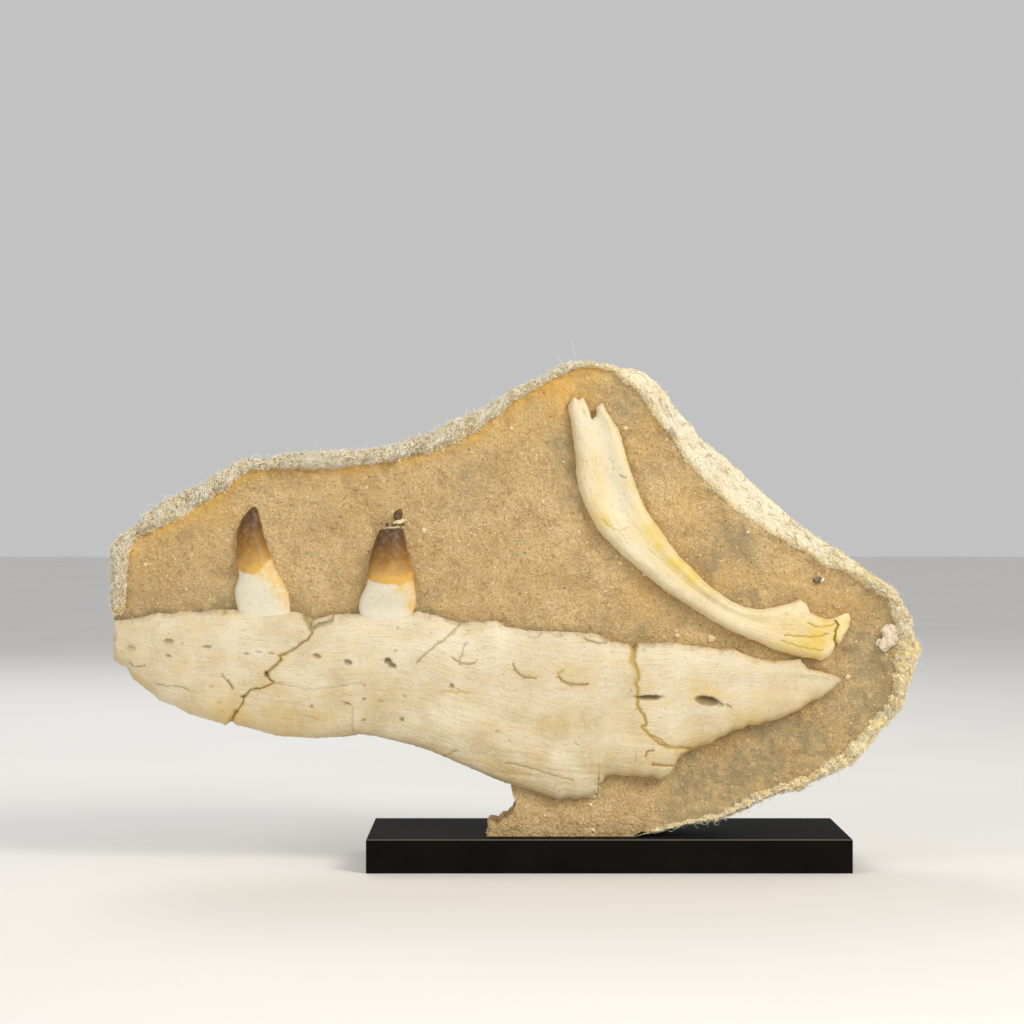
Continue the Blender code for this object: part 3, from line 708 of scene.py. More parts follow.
@dataclass(frozen=True)
class PhosphateSand:
    """Phosphate sandstone, scraped back by hand: matt and gritty, with pale, amber and dark grains."""

    ground: str = "#cfb07d"
    pale: str = "#e5ca98"
    brown: str = "#ac8c5a"
    grain_pale: str = "#f0dfb8"
    grain_dark: str = "#7a6040"
    rust: str = "#ecbd66"
    # Greyish colour of the rock's greyish patches, also painted as shadow beside the tooth roots and left of
    # the curved bone
    grey: str = "#a09374"
    shade: str = "#80694a"
    # Sand grains of about 0.3 mm are too fine to show, so they are drawn four times as wide
    grain_mm: float = 1.2
    blotch_mm: float = 30.0

    def material(self) -> Material:
        """Makes the material."""
        marks = ("rust", "grey", "shade")
        surface = Surface("scraped_phosphate_sandstone", marks, IOR=1.5, Specular_IOR_Level=0.2)
        size = {"Vector": surface.place, "Scale": 1000 / self.grain_mm}
        cells = add_node(surface.tree, "ShaderNodeTexVoronoi", {"feature": "F1"}, size)
        tone = add_node(surface.tree, "ShaderNodeSeparateColor", inputs={"Color": cells.outputs["Color"]})
        cut = {"clamp": True}
        pale = {"Value": tone.outputs[0], "From Min": 0.93, "From Max": 0.98, "To Max": 0.5}
        dark = {"Value": tone.outputs[1], "From Min": 0.92, "From Max": 0.98, "To Max": 0.34}
        layers = (
            (surface.patched(Patches(self.blotch_mm, 0.35, 0.66, 0.9, 5)), self.pale),
            (surface.patched(Patches(11.0, 0.50, 0.75, 0.5, 4)), self.brown),
            (surface.patched(Patches(1.3, 0.44, 0.66, 0.6, 3)), self.brown),
            (surface.patched(Patches(1.9, 0.52, 0.70, 0.5, 3)), self.pale),
            (add_node(surface.tree, "ShaderNodeMapRange", cut, dark).outputs["Result"], self.grain_dark),
            (add_node(surface.tree, "ShaderNodeMapRange", cut, pale).outputs["Result"], self.grain_pale),
            (surface.marks["rust"], self.rust),
            (surface.marks["grey"], self.grey),
            (surface.marks["shade"], self.shade),
        )
        grit = surface.patched(Patches(0.9, 0.3, 0.7, 1.0, 3))
        crust = surface.patched(Patches(3.2, 0.25, 0.75, 1.0, 5))
        normal = surface.carved(((crust, 1.1), (grit, 0.45)))
        return surface.finish(surface.painted(self.ground, layers), 0.95, normal)


@dataclass(frozen=True)
class SealedBone:
    """Fossil bone, brushed clean and sealed: cream, faintly satin, streaked along its grain."""

    name: str = "sealed_fossil_bone"
    ground: str = "#ccb88f"
    pale: str = "#e3d7bc"
    # Pale colour of the bone's pale streaks, also laid as painted highlight
    bright: str = "#e9dec5"
    streak: str = "#b9a074"
    stain: str = "#dabb72"
    crack: str = "#6b5a38"
    basin: str = "#d6cdb6"
    speck: str = "#9c8558"
    # Bone fibres are about 0.3 mm wide and are drawn three times as wide, so that they show
    streak_mm: float = 0.9
    cloud_mm: float = 26.0

    def material(self) -> Material:
        """Makes the material."""
        marks = ("along", "across", "bright", "basin", "stain", "crack")
        surface = Surface(self.name, marks, IOR=1.5, Specular_IOR_Level=0.3)
        long_place = surface.along_grain(14.0)
        short_place = surface.along_grain(4.0)
        layers = (
            (surface.patched(Patches(self.cloud_mm, 0.34, 0.62, 1.0, 5)), self.pale),
            # Painted highlight: this layer lightens the curved bone's outer ridge, and the jaw's upper band
            # partly as paler bone and partly as painted light
            (surface.marks["bright"], self.bright),
            (surface.patched(Patches(self.streak_mm, 0.52, 0.72, 0.45, 3), long_place), self.streak),
            (surface.patched(Patches(2.2, 0.55, 0.72, 0.35, 4), long_place), self.bright),
            (surface.patched(Patches(4.2, 0.56, 0.66, 0.35, 6)), self.bright),
            (surface.patched(Patches(7.0, 0.5, 0.7, 0.35, 5), short_place), self.stain),
            (surface.patched(Patches(0.9, 0.64, 0.70, 0.6, 3), short_place), self.speck),
            (surface.patched(Patches(1.3, 0.67, 0.71, 0.6, 4)), self.speck),
            (surface.marks["basin"], self.basin),
            (surface.marks["stain"], self.stain),
            (surface.marks["crack"], self.crack),
        )
        fibres = surface.patched(Patches(self.streak_mm, 0.3, 0.7, 1.0, 4), long_place)
        skin = surface.patched(Patches(1.5, 0.3, 0.7, 1.0, 5))
        normal = surface.carved(((fibres, 0.14), (skin, 0.2)))
        shine = Patches(6.0, 0.3, 0.7, 0.2)
        duller = {0: surface.patched(shine), 1: 0.52}
        roughness = add_node(surface.tree, "ShaderNodeMath", {"operation": "ADD"}, duller).outputs[0]
        return surface.finish(surface.painted(self.ground, layers), roughness, normal)


@dataclass(frozen=True)
class ToothEnamel:
    """Fossil enamel over dentine: satin brown crown, darkest at the tip, on a chalky white root."""

    tip: str = "#4c3527"
    upper: str = "#6e4c27"
    middle: str = "#956c31"
    lower: str = "#c39754"
    border: str = "#deae5a"
    streak: str = "#5f4230"
    root: str = "#e6dfca"
    root_grain: str = "#cfc2a2"
    root_stain: str = "#e3be6e"

    def material(self) -> Material:
        """Makes the material."""
        marks = ("down", "root", "streak", "stain")
        surface = Surface("fossil_tooth_enamel", marks, IOR=1.62, Specular_IOR_Level=0.2)
        down = {"Fac": surface.marks["down"]}
        shades = add_node(surface.tree, "ShaderNodeValToRGB", inputs=down)
        ramp = shades.color_ramp
        stops = ((0.18, self.tip), (0.38, self.upper), (0.66, self.middle), (0.90, self.lower))
        for place, colour in stops:
            ramp.elements.new(place).color = linear(colour)
        ramp.elements[0].color = linear(self.tip)
        ramp.elements[-1].color = linear(self.border)
        mottled = surface.patched(Patches(3.0, 0.45, 0.75, 0.35, 4))
        layers = ((surface.marks["streak"], self.streak), (mottled, self.lower))
        crown = surface.painted(shades.outputs["Color"], layers)
        grain = surface.patched(Patches(1.4, 0.5, 0.75, 0.6, 4))
        layers = ((grain, self.root_grain), (surface.marks["stain"], self.root_stain))
        root = surface.painted(self.root, layers)
        colour = surface.painted(crown, ((surface.marks["root"], root),))
        levels = {"Value": surface.marks["root"], "To Min": 0.42, "To Max": 0.85}
        roughness = add_node(surface.tree, "ShaderNodeMapRange", {"clamp": True}, levels).outputs["Result"]
        normal = surface.carved(((surface.patched(Patches(1.0, 0.3, 0.7, 1.0, 4)), 0.08),))
        return surface.finish(colour, roughness, normal)


@dataclass(frozen=True)
class BurlapPlaster:
    """Gypsum plaster laid on burlap by hand: chalky, cream, the weave showing where it is thin."""

    plaster: str = "#f6ecd2"
    aged: str = "#dfcd9e"
    # Dust colour, also painted as shade in the gaps between the threads on the upper left
    dust: str = "#bf9f62"
    crust: str = "#fdeaae"
    thread: str = "#b5a275"
    # Painted shade of small pits: dark speckles over the plaster
    hollow_shade: str = "#a08a60"
    # Burlap has a thread about every 1.5 mm, drawn coarser so that the weave shows
    thread_mm: float = 2.4

    def material(self) -> Material:
        """Makes the material."""
        marks = ("around", "across", "white", "weave", "crust", "dust")
        surface = Surface("hand_laid_burlap_plaster", marks, IOR=1.5, Specular_IOR_Level=0.2)
        tree = surface.tree
        turn = {1: 2 * math.pi / self.thread_mm}
        waves_of = []
        for way in ("around", "across"):
            inputs = {0: surface.marks[way]} | turn
            angle = add_node(tree, "ShaderNodeMath", {"operation": "MULTIPLY"}, inputs)
            waves_of.append(add_node(tree, "ShaderNodeMath", {"operation": "SINE"}, {0: angle.outputs[0]}))
        crossed = {0: waves_of[0].outputs[0], 1: waves_of[1].outputs[0]}
        weave = add_node(tree, "ShaderNodeMath", {"operation": "MULTIPLY"}, crossed).outputs[0]
        levels = {"Value": weave, "From Min": -0.6, "From Max": 0.6, "To Max": 0.8}
        threads = add_node(tree, "ShaderNodeMapRange", {"clamp": True}, levels).outputs["Result"]
        shown = {0: threads, 1: surface.marks["weave"]}
        shown_weave = add_node(tree, "ShaderNodeMath", {"operation": "MULTIPLY"}, shown).outputs[0]
        layers = (
            (surface.patched(Patches(18.0, 0.36, 0.64, 1.0, 5)), self.plaster),
            (shown_weave, self.thread),
            (surface.marks["crust"], self.crust),
            (surface.marks["dust"], self.dust),
            (surface.patched(Patches(1.6, 0.58, 0.74, 0.4, 4)), self.dust),
            # Painted shade: dark speckles as if in small pits
            (surface.patched(Patches(1.3, 0.64, 0.74, 0.35, 3)), self.hollow_shade),
            (surface.marks["white"], self.plaster),
        )
        crumbs = surface.patched(Patches(1.5, 0.25, 0.75, 1.0, 3))
        lumps = surface.patched(Patches(4.5, 0.25, 0.75, 1.0, 6))
        normal = surface.carved(((lumps, 1.2), (crumbs, 0.6), (shown_weave, 0.7)))
        return surface.finish(surface.painted(self.aged, layers), 0.94, normal)


@dataclass(frozen=True)
class DyedByTone:
    """Loose grains or threads, each with its own tone between three colours of the same stuff."""

    name: str
    low: str
    middle: str
    high: str
    roughness: float

    def material(self) -> Material:
        """Makes the material."""
        surface = Surface(self.name, ("tone",), IOR=1.5, Specular_IOR_Level=0.25)
        ramp = add_node(surface.tree, "ShaderNodeValToRGB", inputs={"Fac": surface.marks["tone"]})
        ramp.color_ramp.elements[0].color = linear(self.low)
        ramp.color_ramp.elements.new(0.5).color = linear(self.middle)
        ramp.color_ramp.elements[-1].color = linear(self.high)
        return surface.finish(ramp.outputs["Color"], self.roughness)


@dataclass(frozen=True)
class SatinLacquer:
    """Black lacquer sprayed on board and rubbed down: deep black, low sheen, with a lighter painted highlight
    along its front top edge.
    """

    black: str = "#141210"
    rubbed: str = "#1e1b18"
    # Colour of the painted highlight: a thin line along the front top edge, where the bevel would catch the
    # light
    edge_highlight: str = "#63605c"
    highlight_down_mm: float = 0.6
    highlight_back_mm: float = 0.5

    def material(self) -> Material:
        """Makes the material."""
        surface = Surface("satin_black_lacquer", IOR=1.45, Specular_IOR_Level=0.01)
        tree = surface.tree
        axes = add_node(tree, "ShaderNodeSeparateXYZ", inputs={0: surface.place}).outputs
        high = {0: axes[2], 1: (BASE_HEIGHT_MM - self.highlight_down_mm) * 0.001}
        near = {0: axes[1], 1: (self.highlight_back_mm - BASE_DEPTH_MM / 2) * 0.001}
        above = add_node(tree, "ShaderNodeMath", {"operation": "GREATER_THAN"}, high).outputs[0]
        ahead = add_node(tree, "ShaderNodeMath", {"operation": "LESS_THAN"}, near).outputs[0]
        # Painted highlight: the front top edge, down from the top and back from the front by these widths, is
        # painted lighter
        edge = add_node(tree, "ShaderNodeMath", {"operation": "MULTIPLY"}, {0: above, 1: ahead}).outputs[0]
        layers = ((surface.patched(Patches(35.0, 0.4, 0.7, 0.6, 4)), self.rubbed), (edge, self.edge_highlight))
        normal = surface.carved(((surface.patched(Patches(0.9, 0.3, 0.7)), 0.01),))
        return surface.finish(surface.painted(self.black, layers), 0.5, normal)


def jaw_edge() -> Array:
    """The jaw's outline in millimetres, its straight runs broken up a little."""
    return frayed(resampled(on_face(JAW_OUTLINE), 0.8), 0.22, 2.6, 41)


def curved_edge() -> Array:
    """The curved bone's outline in millimetres, its straight runs broken up a little."""
    return frayed(resampled(on_face(CURVED_OUTLINE), 0.9), 0.2, 3.0, 42)


def spots(x: Array, z: Array, table: Spots) -> Array:
    """The sum of soft round spots.

    Args:
        x: Places across, in millimetres.
        z: Places up, in millimetres.
        table: Column, row and radius in grid steps, and the strength, of each spot.

    Returns:
        The sum at each point.
    """
    column, row = column_of(x), row_of(z)
    total = np.zeros(np.shape(x))
    for spot_column, spot_row, radius, strength in table:
        total += strength * np.exp(-((column - spot_column) ** 2 + (row - spot_row) ** 2) / radius**2)
    return total


@dataclass
class RockFill:
    """The sandy rock that fills the jacket and holds the bones.

    Attributes:
        spacing_mm: Distance between the points of its face.
        edge_fray_mm: How rough its free edge is.
        trench_mm: How deep the rock is cleared beside the bones.
        under_rim_mm: How far it runs on under the plaster of the rim.
        grain_count: Coarser grains that stand out of the face.
    """

    spacing_mm: float = 1.15
    edge_fray_mm: float = 0.5
    trench_mm: float = 1.5
    under_rim_mm: float = 2.6
    grain_count: int = 6200
    jaw: Array = field(default_factory=jaw_edge)
    curved: Array = field(default_factory=curved_edge)
    rim_line: Array = field(default_factory=lambda: on_face(ROCK_OUTLINE[3 : ROCK_OUTLINE.index((640, 832))]))
    rusty: Spots = (
        (578, 388, 26, 0.75), (548, 402, 26, 0.5), (505, 432, 26, 0.35), (655, 412, 16, 0.4),
        (640, 592, 28, 0.22),
        (690, 505, 20, 0.3), (742, 588, 26, 0.35), (790, 588, 20, 0.3), (728, 744, 13, 0.6),
        (800, 716, 10, 0.4),
        (150, 560, 26, 0.15), (215, 512, 22, 0.35), (352, 500, 30, 0.15), (640, 455, 14, 0.25),
        (845, 600, 20, 0.2),
        (775, 650, 12, 0.35),
    )
    # Greyish patches of the rock, with painted shadow in the spots beside the tooth roots and along the left
    # side of the curved bone
    grey_and_shadow_spots: Spots = (
        (624, 402, 18, 0.75), (563, 440, 12, 0.6), (566, 468, 12, 0.7), (572, 500, 10, 0.5),
        (735, 540, 22, 0.6),
        (712, 560, 18, 0.45), (760, 598, 16, 0.6), (735, 596, 14, 0.4), (785, 600, 12, 0.4),
        (475, 480, 20, 0.45),
        (460, 500, 16, 0.3), (345, 598, 14, 0.5), (425, 600, 13, 0.6), (225, 598, 12, 0.5),
        (300, 600, 14, 0.55),
        (630, 632, 16, 0.4), (520, 620, 16, 0.3), (600, 620, 16, 0.25), (870, 660, 26, 0.55),
        (885, 690, 20, 0.5),
        (840, 700, 30, 0.3), (760, 770, 40, 0.35), (700, 800, 50, 0.2), (800, 735, 26, 0.45),
        (655, 470, 14, 0.3), (320, 520, 16, 0.18), (180, 606, 26, 0.35), (130, 600, 20, 0.3),
    )

    def edge(self) -> Array:
        """Its outline: frayed where it is free, and carried on under the plaster of the rim."""
        edge = frayed(resampled(on_face(ROCK_OUTLINE), 1.2), self.edge_fray_mm, 3.0, 43)
        column, row = column_of(edge[:, 0]), row_of(edge[:, 1])
        room = near_path(edge[:, 0], edge[:, 1], on_face(JACKET_OUTLINE), 10.0, True)
        covered = (row < 612) | ((column > 645) & (row < 832))
        edge = edge + outward(edge) * (np.clip(0.75 * room - 0.5, 0, self.under_rim_mm) * covered)[:, None]
        edge[:, 1] = np.maximum(edge[:, 1], BASE_HEIGHT_MM - FOOT_IN_BASE_MM)
        return edge

    def to_bones(self, x: Array, z: Array) -> Array:
        """Distance to the nearer bone, at most 20 mm."""
        return np.minimum(near_path(x, z, self.jaw, 20, True), near_path(x, z, self.curved, 20, True))

    def height(self, x: Array, z: Array) -> Array:
        """Height of the rock's face, in millimetres."""
        column, row = column_of(x), row_of(z)
        height = spots(x, z, ROCK_LUMPS)
        height -= 5.0 * eased(0, 90, (row - 700) + 0.35 * (column - 700)) * eased(560, 700, column)
        height += 0.7 * waves(x, z, 26, 1, 2) + 0.55 * waves(x, z, 8, 2, 3) + 0.32 * waves(x, z, 2.9, 3, 2)
        to_rim = near_path(x, z, self.rim_line, 25)
        height += (1.7 + 0.9 * waves(x, z, 5, 5, 2)) * fading(to_rim, 6)
        trench = self.trench_mm * (0.8 + 0.5 * waves(x, z, 13, 6, 2))
        height -= trench * fading(self.to_bones(x, z), 4.0)
        flat = eased(FOOT_TOP_ROW - 12, FLOOR_ROW - 12, row)
        return height * (1 - flat) + (FOOT_HEIGHT_MM + 0.3 * waves(x, z, 3, 4, 2)) * flat

    def marks(self, x: Array, z: Array) -> dict[str, Array]:
        """Where the rock is rusty or greyish, where greyish paint stands for shadow beside the teeth and the
        curved bone, and where it is shaded.
        """
        column, row = column_of(x), row_of(z)
        patchy = cloudy(x, z, 13, 11)
        to_rim = near_path(x, z, self.rim_line, 25)
        upper_left = 1 - eased(590, 625, column)
        rust = 0.85 * fading(to_rim, 4.2) + 0.10 * fading(to_rim, 12)
        rust = (rust * upper_left + spots(x, z, self.rusty)) * (0.3 + 0.8 * patchy)
        # Greyish patches and bands of the rock, with painted shadow in the spots beside the tooth roots and
        # left of the curved bone
        grey = spots(x, z, self.grey_and_shadow_spots) + 0.3 * eased(690, 740, row) * eased(640, 680, column)
        grey += 0.3 * eased(820, 880, column)
        grey += 0.45 * fading(near_path(x, z, self.jaw, 15, True), 3.2) * (row < 640) * (column < 640)
        grey *= (0.4 + 0.9 * (1 - patchy)) * np.clip(0.9 + 0.9 * waves(x, z, 4, 12, 3), 0.1, 1.8)
        # Painted shade in the low places of the rock's face
        hollow_shade = np.clip(-0.7 * waves(x, z, 8, 2, 3) - 0.25, 0, 0.4)
        shade = 0.25 * fading(self.to_bones(x, z), 1.6) + 0.5 * hollow_shade
        shade *= 1 - 0.8 * eased(755, 785, row)
        return {"rust": np.clip(rust, 0, 0.9), "grey": np.clip(grey, 0, 0.7), "shade": np.clip(shade, 0, 0.6)}

    def grains(self) -> Object:
        """Grains and chips of many sizes, half sunk in the face."""
        random = np.random.default_rng(7)
        edge = on_face(ROCK_OUTLINE)
        places = random.uniform(edge.min(0), edge.max(0), (self.grain_count * 3, 2))
        kept = inside(places[:, 0], places[:, 1], edge) & (row_of(places[:, 1]) < FLOOR_ROW - 2)
        for bone in (self.jaw, self.curved):
            kept &= ~inside(places[:, 0], places[:, 1], bone)
        places = places[kept][: self.grain_count]
        size = 0.24 + 0.6 * random.random(len(places)) ** 4
        size[: len(size) // 60] *= 2.0
        out = self.height(places[:, 0], places[:, 1]) + 0.1 * size
        middles = np.stack([places[:, 0], FACE_Y_MM - out, places[:, 1]], 1)
        finish = DyedByTone("sand_grains", "#8d6f48", "#cfae7a", "#f0ddb2", 0.8)
        return strewn("rock_grains", middles, size, random, finish.material())

    def build(self) -> None:
        """Builds the rock and its grains."""
        sheet = Relief(self.edge(), self.spacing_mm, self.spacing_mm, ROCK_BACK_MM, 5, 1.6)
        rock = sheet.build("sandy_rock", self.height, self.marks, PhosphateSand().material())
        hand_over(rock, Piece.ROCK, "matrix")
        hand_over(self.grains(), Piece.ROCK, "matrix")


def strewn(
    name: str, middles: Array, sizes: Array, random: np.random.Generator, material: Material
) -> Object:
    """Makes angular eight-sided grains, each with its own shape, turn and tone; the largest are pale.

    Args:
        name: The piece's name.
        middles: The middle of each grain.
        sizes: Its half size in millimetres.
        random: Where the chances come from.
        material: The finish, which reads the tone.

    Returns:
        The new object.
    """
    count = len(middles)
    corners = np.array([(1, 0, 0), (-1, 0, 0), (0, 1, 0), (0, -1, 0), (0, 0, 1), (0, 0, -1)], float)
    faces = np.array([(0, 2, 4), (2, 1, 4), (1, 3, 4), (3, 0, 4), (2, 0, 5), (1, 2, 5), (3, 1, 5), (0, 3, 5)])
    local = corners * random.uniform(0.6, 1.3, (count, 6, 1)) * sizes[:, None, None]
    turn = random.uniform(0, 2 * math.pi, (count, 1))
    x = local[..., 0] * np.cos(turn) - local[..., 2] * np.sin(turn)
    z = local[..., 0] * np.sin(turn) + local[..., 2] * np.cos(turn)
    points = (middles[:, None] + np.stack([x, local[..., 1], z], 2)).reshape(-1, 3)
    triangles = (faces + (np.arange(count) * 6)[:, None, None]).reshape(-1, 3)
    tone = np.clip(random.normal(0.57, 0.25, count), 0, 1)
    tone = np.repeat(np.where(sizes > np.quantile(sizes, 0.985), 0.95, tone), 6)
    return make_object(name, points, triangles, {"tone": tone}, material, 30)


@dataclass(frozen=True)
class Crack:
    """A crack, slit or scratch in a bone.

    Attributes:
        path: Its run on the grid.
        width_mm: Its width.
        depth_mm: Its depth.
        dark: How dark it is.
        stained: How yellow the bone is beside it.
        tapered: Whether it thins out to both ends.
    """

    path: Points
    width_mm: float
    depth_mm: float
    dark: float = 0.6
    stained: float = 0.0
    tapered: bool = False


def cracked(x: Array, z: Array, cracks: Sequence[Crack], seed: int) -> tuple[Array, Array, Array]:
    """How deep each point lies in a crack, how dark it is there, and how stained.

    Args:
        x: Places across, in millimetres.
        z: Places up, in millimetres.
        cracks: The cracks.
        seed: Number that sets their wobble apart.

    Returns:
        Depth in millimetres, darkness and stain.
    """
    moved_x = x + 0.5 * waves(x, z, 2.2, seed, 3)
    moved_z = z + 0.5 * waves(x, z, 2.2, seed + 1, 3)
    depth, dark, stain = np.zeros_like(x), np.zeros_like(x), np.zeros_like(x)
    for crack in cracks:
        line = on_face(crack.path)
        away, along, _ = to_path(moved_x, moved_z, line, 4 * crack.width_mm)
        thin = np.sin(np.pi * np.clip(along / np.hypot(*np.diff(line, axis=0).T).sum(), 0, 1))
        away = away / (crack.width_mm * (0.3 + 0.7 * thin if crack.tapered else 1.0))
        depth = np.maximum(depth, crack.depth_mm * fading(away, 0.5))
        dark = np.maximum(dark, crack.dark * fading(away, 0.6))
        stain = np.maximum(stain, crack.stained * np.exp(-((away / 0.85) ** 4)))
    return depth, dark, stain


# The jaw's openings: column, row, width, height, depth in mm, turn in degrees, and how dark
FORAMINA: tuple[tuple[float, float, float, float, float, float, float], ...] = (
    (170.5, 640.5, 9, 5, 1.4, 0, 0.55), (170.5, 655, 6, 3.4, 1.1, 5, 0.5), (209, 646, 9, 3, 1.2, 0, 0.55),
    (184, 643, 2, 2, 0.6, 0, 0.5), (248, 653, 6, 2.6, 0.9, 0, 0.45), (260, 651, 5, 2, 0.6, 8, 0.35),
    (273, 652.5, 6, 2.4, 0.9, 5, 0.4), (133, 648, 9, 7, 1.2, -15, 0.3), (318, 655, 9, 4.5, 1.5, 18, 0.6),
    (349, 661, 8, 5.5, 1.6, 15, 0.7), (388.5, 660, 8, 6.5, 2.4, 10, 0.8), (393, 664, 8.5, 5, 2.0, 12, 0.75),
    (452, 685, 6, 5, 1.4, 20, 0.65), (458, 687.5, 3, 2, 0.7, 0, 0.45), (348, 702, 8, 2.4, 1.0, 12, 0.6),
    (365, 698, 4, 3, 0.9, 0, 0.6), (365, 683.5, 3.5, 2, 0.6, -10, 0.45), (364, 719, 5, 2.4, 0.8, -12, 0.5),
    (312.5, 705, 4, 3.4, 0.9, 20, 0.55), (402.5, 718, 4.5, 4.5, 1.1, 30, 0.6),
    (405, 695, 6, 2, 0.5, 35, 0.35),
    (381, 700, 6, 2, 0.6, 0, 0.4), (497, 730, 6, 3, 0.7, 0, 0.35), (509, 739, 4, 2, 0.5, 10, 0.3),
    (213, 685.5, 5, 2, 0.6, 15, 0.4), (245, 695.5, 7, 3, 1.2, -5, 0.6), (160, 624, 2.5, 4, 0.6, 0, 0.3),
    (268, 673, 5.5, 6, 1.8, 0, 0.7), (575, 742, 6, 2.4, 0.5, 25, 0.25), (396, 650, 2.4, 5, 0.5, 25, 0.35),
    (648, 696.3, 24, 5, 2.6, 0, 1.0), (656, 695.5, 14, 2.2, 1.2, -3, 0.7), (637, 695.5, 10, 2.6, 1.0, 5, 0.6),
    (706, 699.5, 24, 9.5, 3.6, 9, 1.0), (716, 702, 14, 5, 1.6, 18, 0.6), (727, 705, 9, 3, 0.8, 30, 0.4),
    (190, 630, 3, 1.6, 0.4, 0, 0.2), (630, 690, 3, 3, 0.5, 0, 0.25), (224, 613, 6, 5, 0.7, 0, 0.25),
    (398, 627, 2, 5, 0.5, 40, 0.35), (221, 702, 6, 2, 0.4, 0, 0.25), (224, 710, 5, 2, 0.4, 10, 0.2),
)

JAW_CRACKS: tuple[Crack, ...] = (
    Crack(((334, 612), (332, 619), (327, 622), (319, 624), (313, 628)), 2.3, 3.0, 0.55, 0.2),
    Crack(((304, 610), (306, 617), (310, 622), (312, 628)), 2.4, 3.0, 0.6, 0.2),
    Crack(((312, 627), (313, 633), (309, 639), (303, 642), (299, 646), (292, 650), (285, 653)),
          1.2, 1.5, 0.6, 0.15),
    Crack(((285, 653), (281, 655), (283, 659), (277, 664), (272, 668), (267, 672), (270, 676), (275, 681)),
          1.4, 1.5, 0.6, 0.6),
    Crack(((275, 681), (269, 685), (262, 687), (252, 688), (249, 692), (245, 695), (244, 703), (238, 709)),
          1.1, 1.4, 0.6, 0.5),
    Crack(((238, 709), (236, 714), (232, 719), (229, 727)), 2.0, 2.2, 0.6, 0.8),
    Crack(((636, 640), (633, 647), (632, 655), (631, 660), (634, 665)), 2.8, 1.2, 0.36, 1.0),
    Crack(((634, 665), (637, 670), (637, 677), (634, 684), (637, 688)), 2.1, 1.2, 0.38, 1.0),
    Crack(((637, 688), (637, 698), (637, 707), (641, 711), (644, 718), (645, 723), (641, 726)),
          1.6, 1.2, 0.42, 0.9),
    Crack(((641, 726), (647, 732), (653, 738), (660, 743), (667, 746), (680, 747), (693, 748)),
          1.5, 1.2, 0.36, 0.9),
    Crack(((650, 733), (656, 736), (661, 740), (668, 745)), 0.9, 0.9, 0.35, 0.7),
    Crack(((462, 622), (456, 628), (450, 633), (445, 639), (437, 644), (430, 649), (424, 655), (417, 661)),
          0.85, 0.8, 0.55, 0.15),
    Crack(((460, 622), (455, 630), (452, 634)), 0.8, 0.6, 0.45, 0.2),
    Crack(((466, 641), (464, 649), (461, 655), (459, 659)), 0.75, 0.6, 0.5),
    Crack(((453, 656), (456, 660), (460, 662.5), (466, 663.5), (476, 661)), 1.6, 1.1, 0.42, 0.1, True),
    Crack(((513, 662), (514.5, 668), (518, 673), (524, 676.5), (536, 677)), 1.6, 1.2, 0.42, 0.15, True),
    Crack(((557, 674), (561, 680), (568, 683), (576, 684), (587, 683)), 2.0, 1.3, 0.45, 0.2, True),
    Crack(((557, 676), (558, 672), (563, 670)), 1.4, 0.7, 0.25, 0.5),
    Crack(((224, 673), (228, 679)), 1.0, 0.8, 0.45, 0.3),
    Crack(((230, 680), (234, 687)), 1.2, 1.1, 0.65, 0.3),
    Crack(((276, 681), (285, 683), (296, 685), (305, 688), (320, 688), (335, 686), (348, 683), (362, 682)),
          0.8, 0.4, 0.28),
    Crack(((159, 683), (168, 685), (176, 685), (184, 686), (191, 690)), 0.8, 0.6, 0.4),
    Crack(((132, 662), (137, 666), (146, 665)), 1.0, 0.9, 0.5),
    Crack(((352, 704), (354, 712), (353, 720), (354, 730)), 0.8, 0.5, 0.3, 0.1),
    Crack(((306, 715), (313, 716), (320, 718)), 0.8, 0.4, 0.25),
    Crack(((443, 690), (452, 690), (461, 691), (470, 691)), 1.0, 0.3, 0.25, 0.7),
    Crack(((444, 755), (450, 753), (457, 749)), 0.9, 0.8, 0.35, 0.1),
    Crack(((583, 637), (588, 640), (595, 642), (606, 642)), 1.2, 1.2, 0.5, 0.1),
    Crack(((527, 636), (535, 637), (541, 634)), 0.9, 0.7, 0.35),
    Crack(((548, 631), (556, 636), (563, 635)), 0.8, 0.7, 0.3),
    Crack(((644, 755), (646, 751), (652, 748)), 1.1, 1.0, 0.6, 0.1),
    Crack(((652, 763), (661, 764), (675, 765)), 1.2, 1.3, 0.4, 0.5),
    Crack(((634, 750), (634, 760)), 0.8, 0.4, 0.25),
    Crack(((505, 761), (520, 764), (538, 769), (556, 775), (572, 779)), 0.9, 0.7, 0.25),
    Crack(((800, 676), (812, 675), (826, 677)), 0.9, 0.6, 0.3),
    Crack(((641, 648), (645, 650)), 1.0, 0.6, 0.35),
)


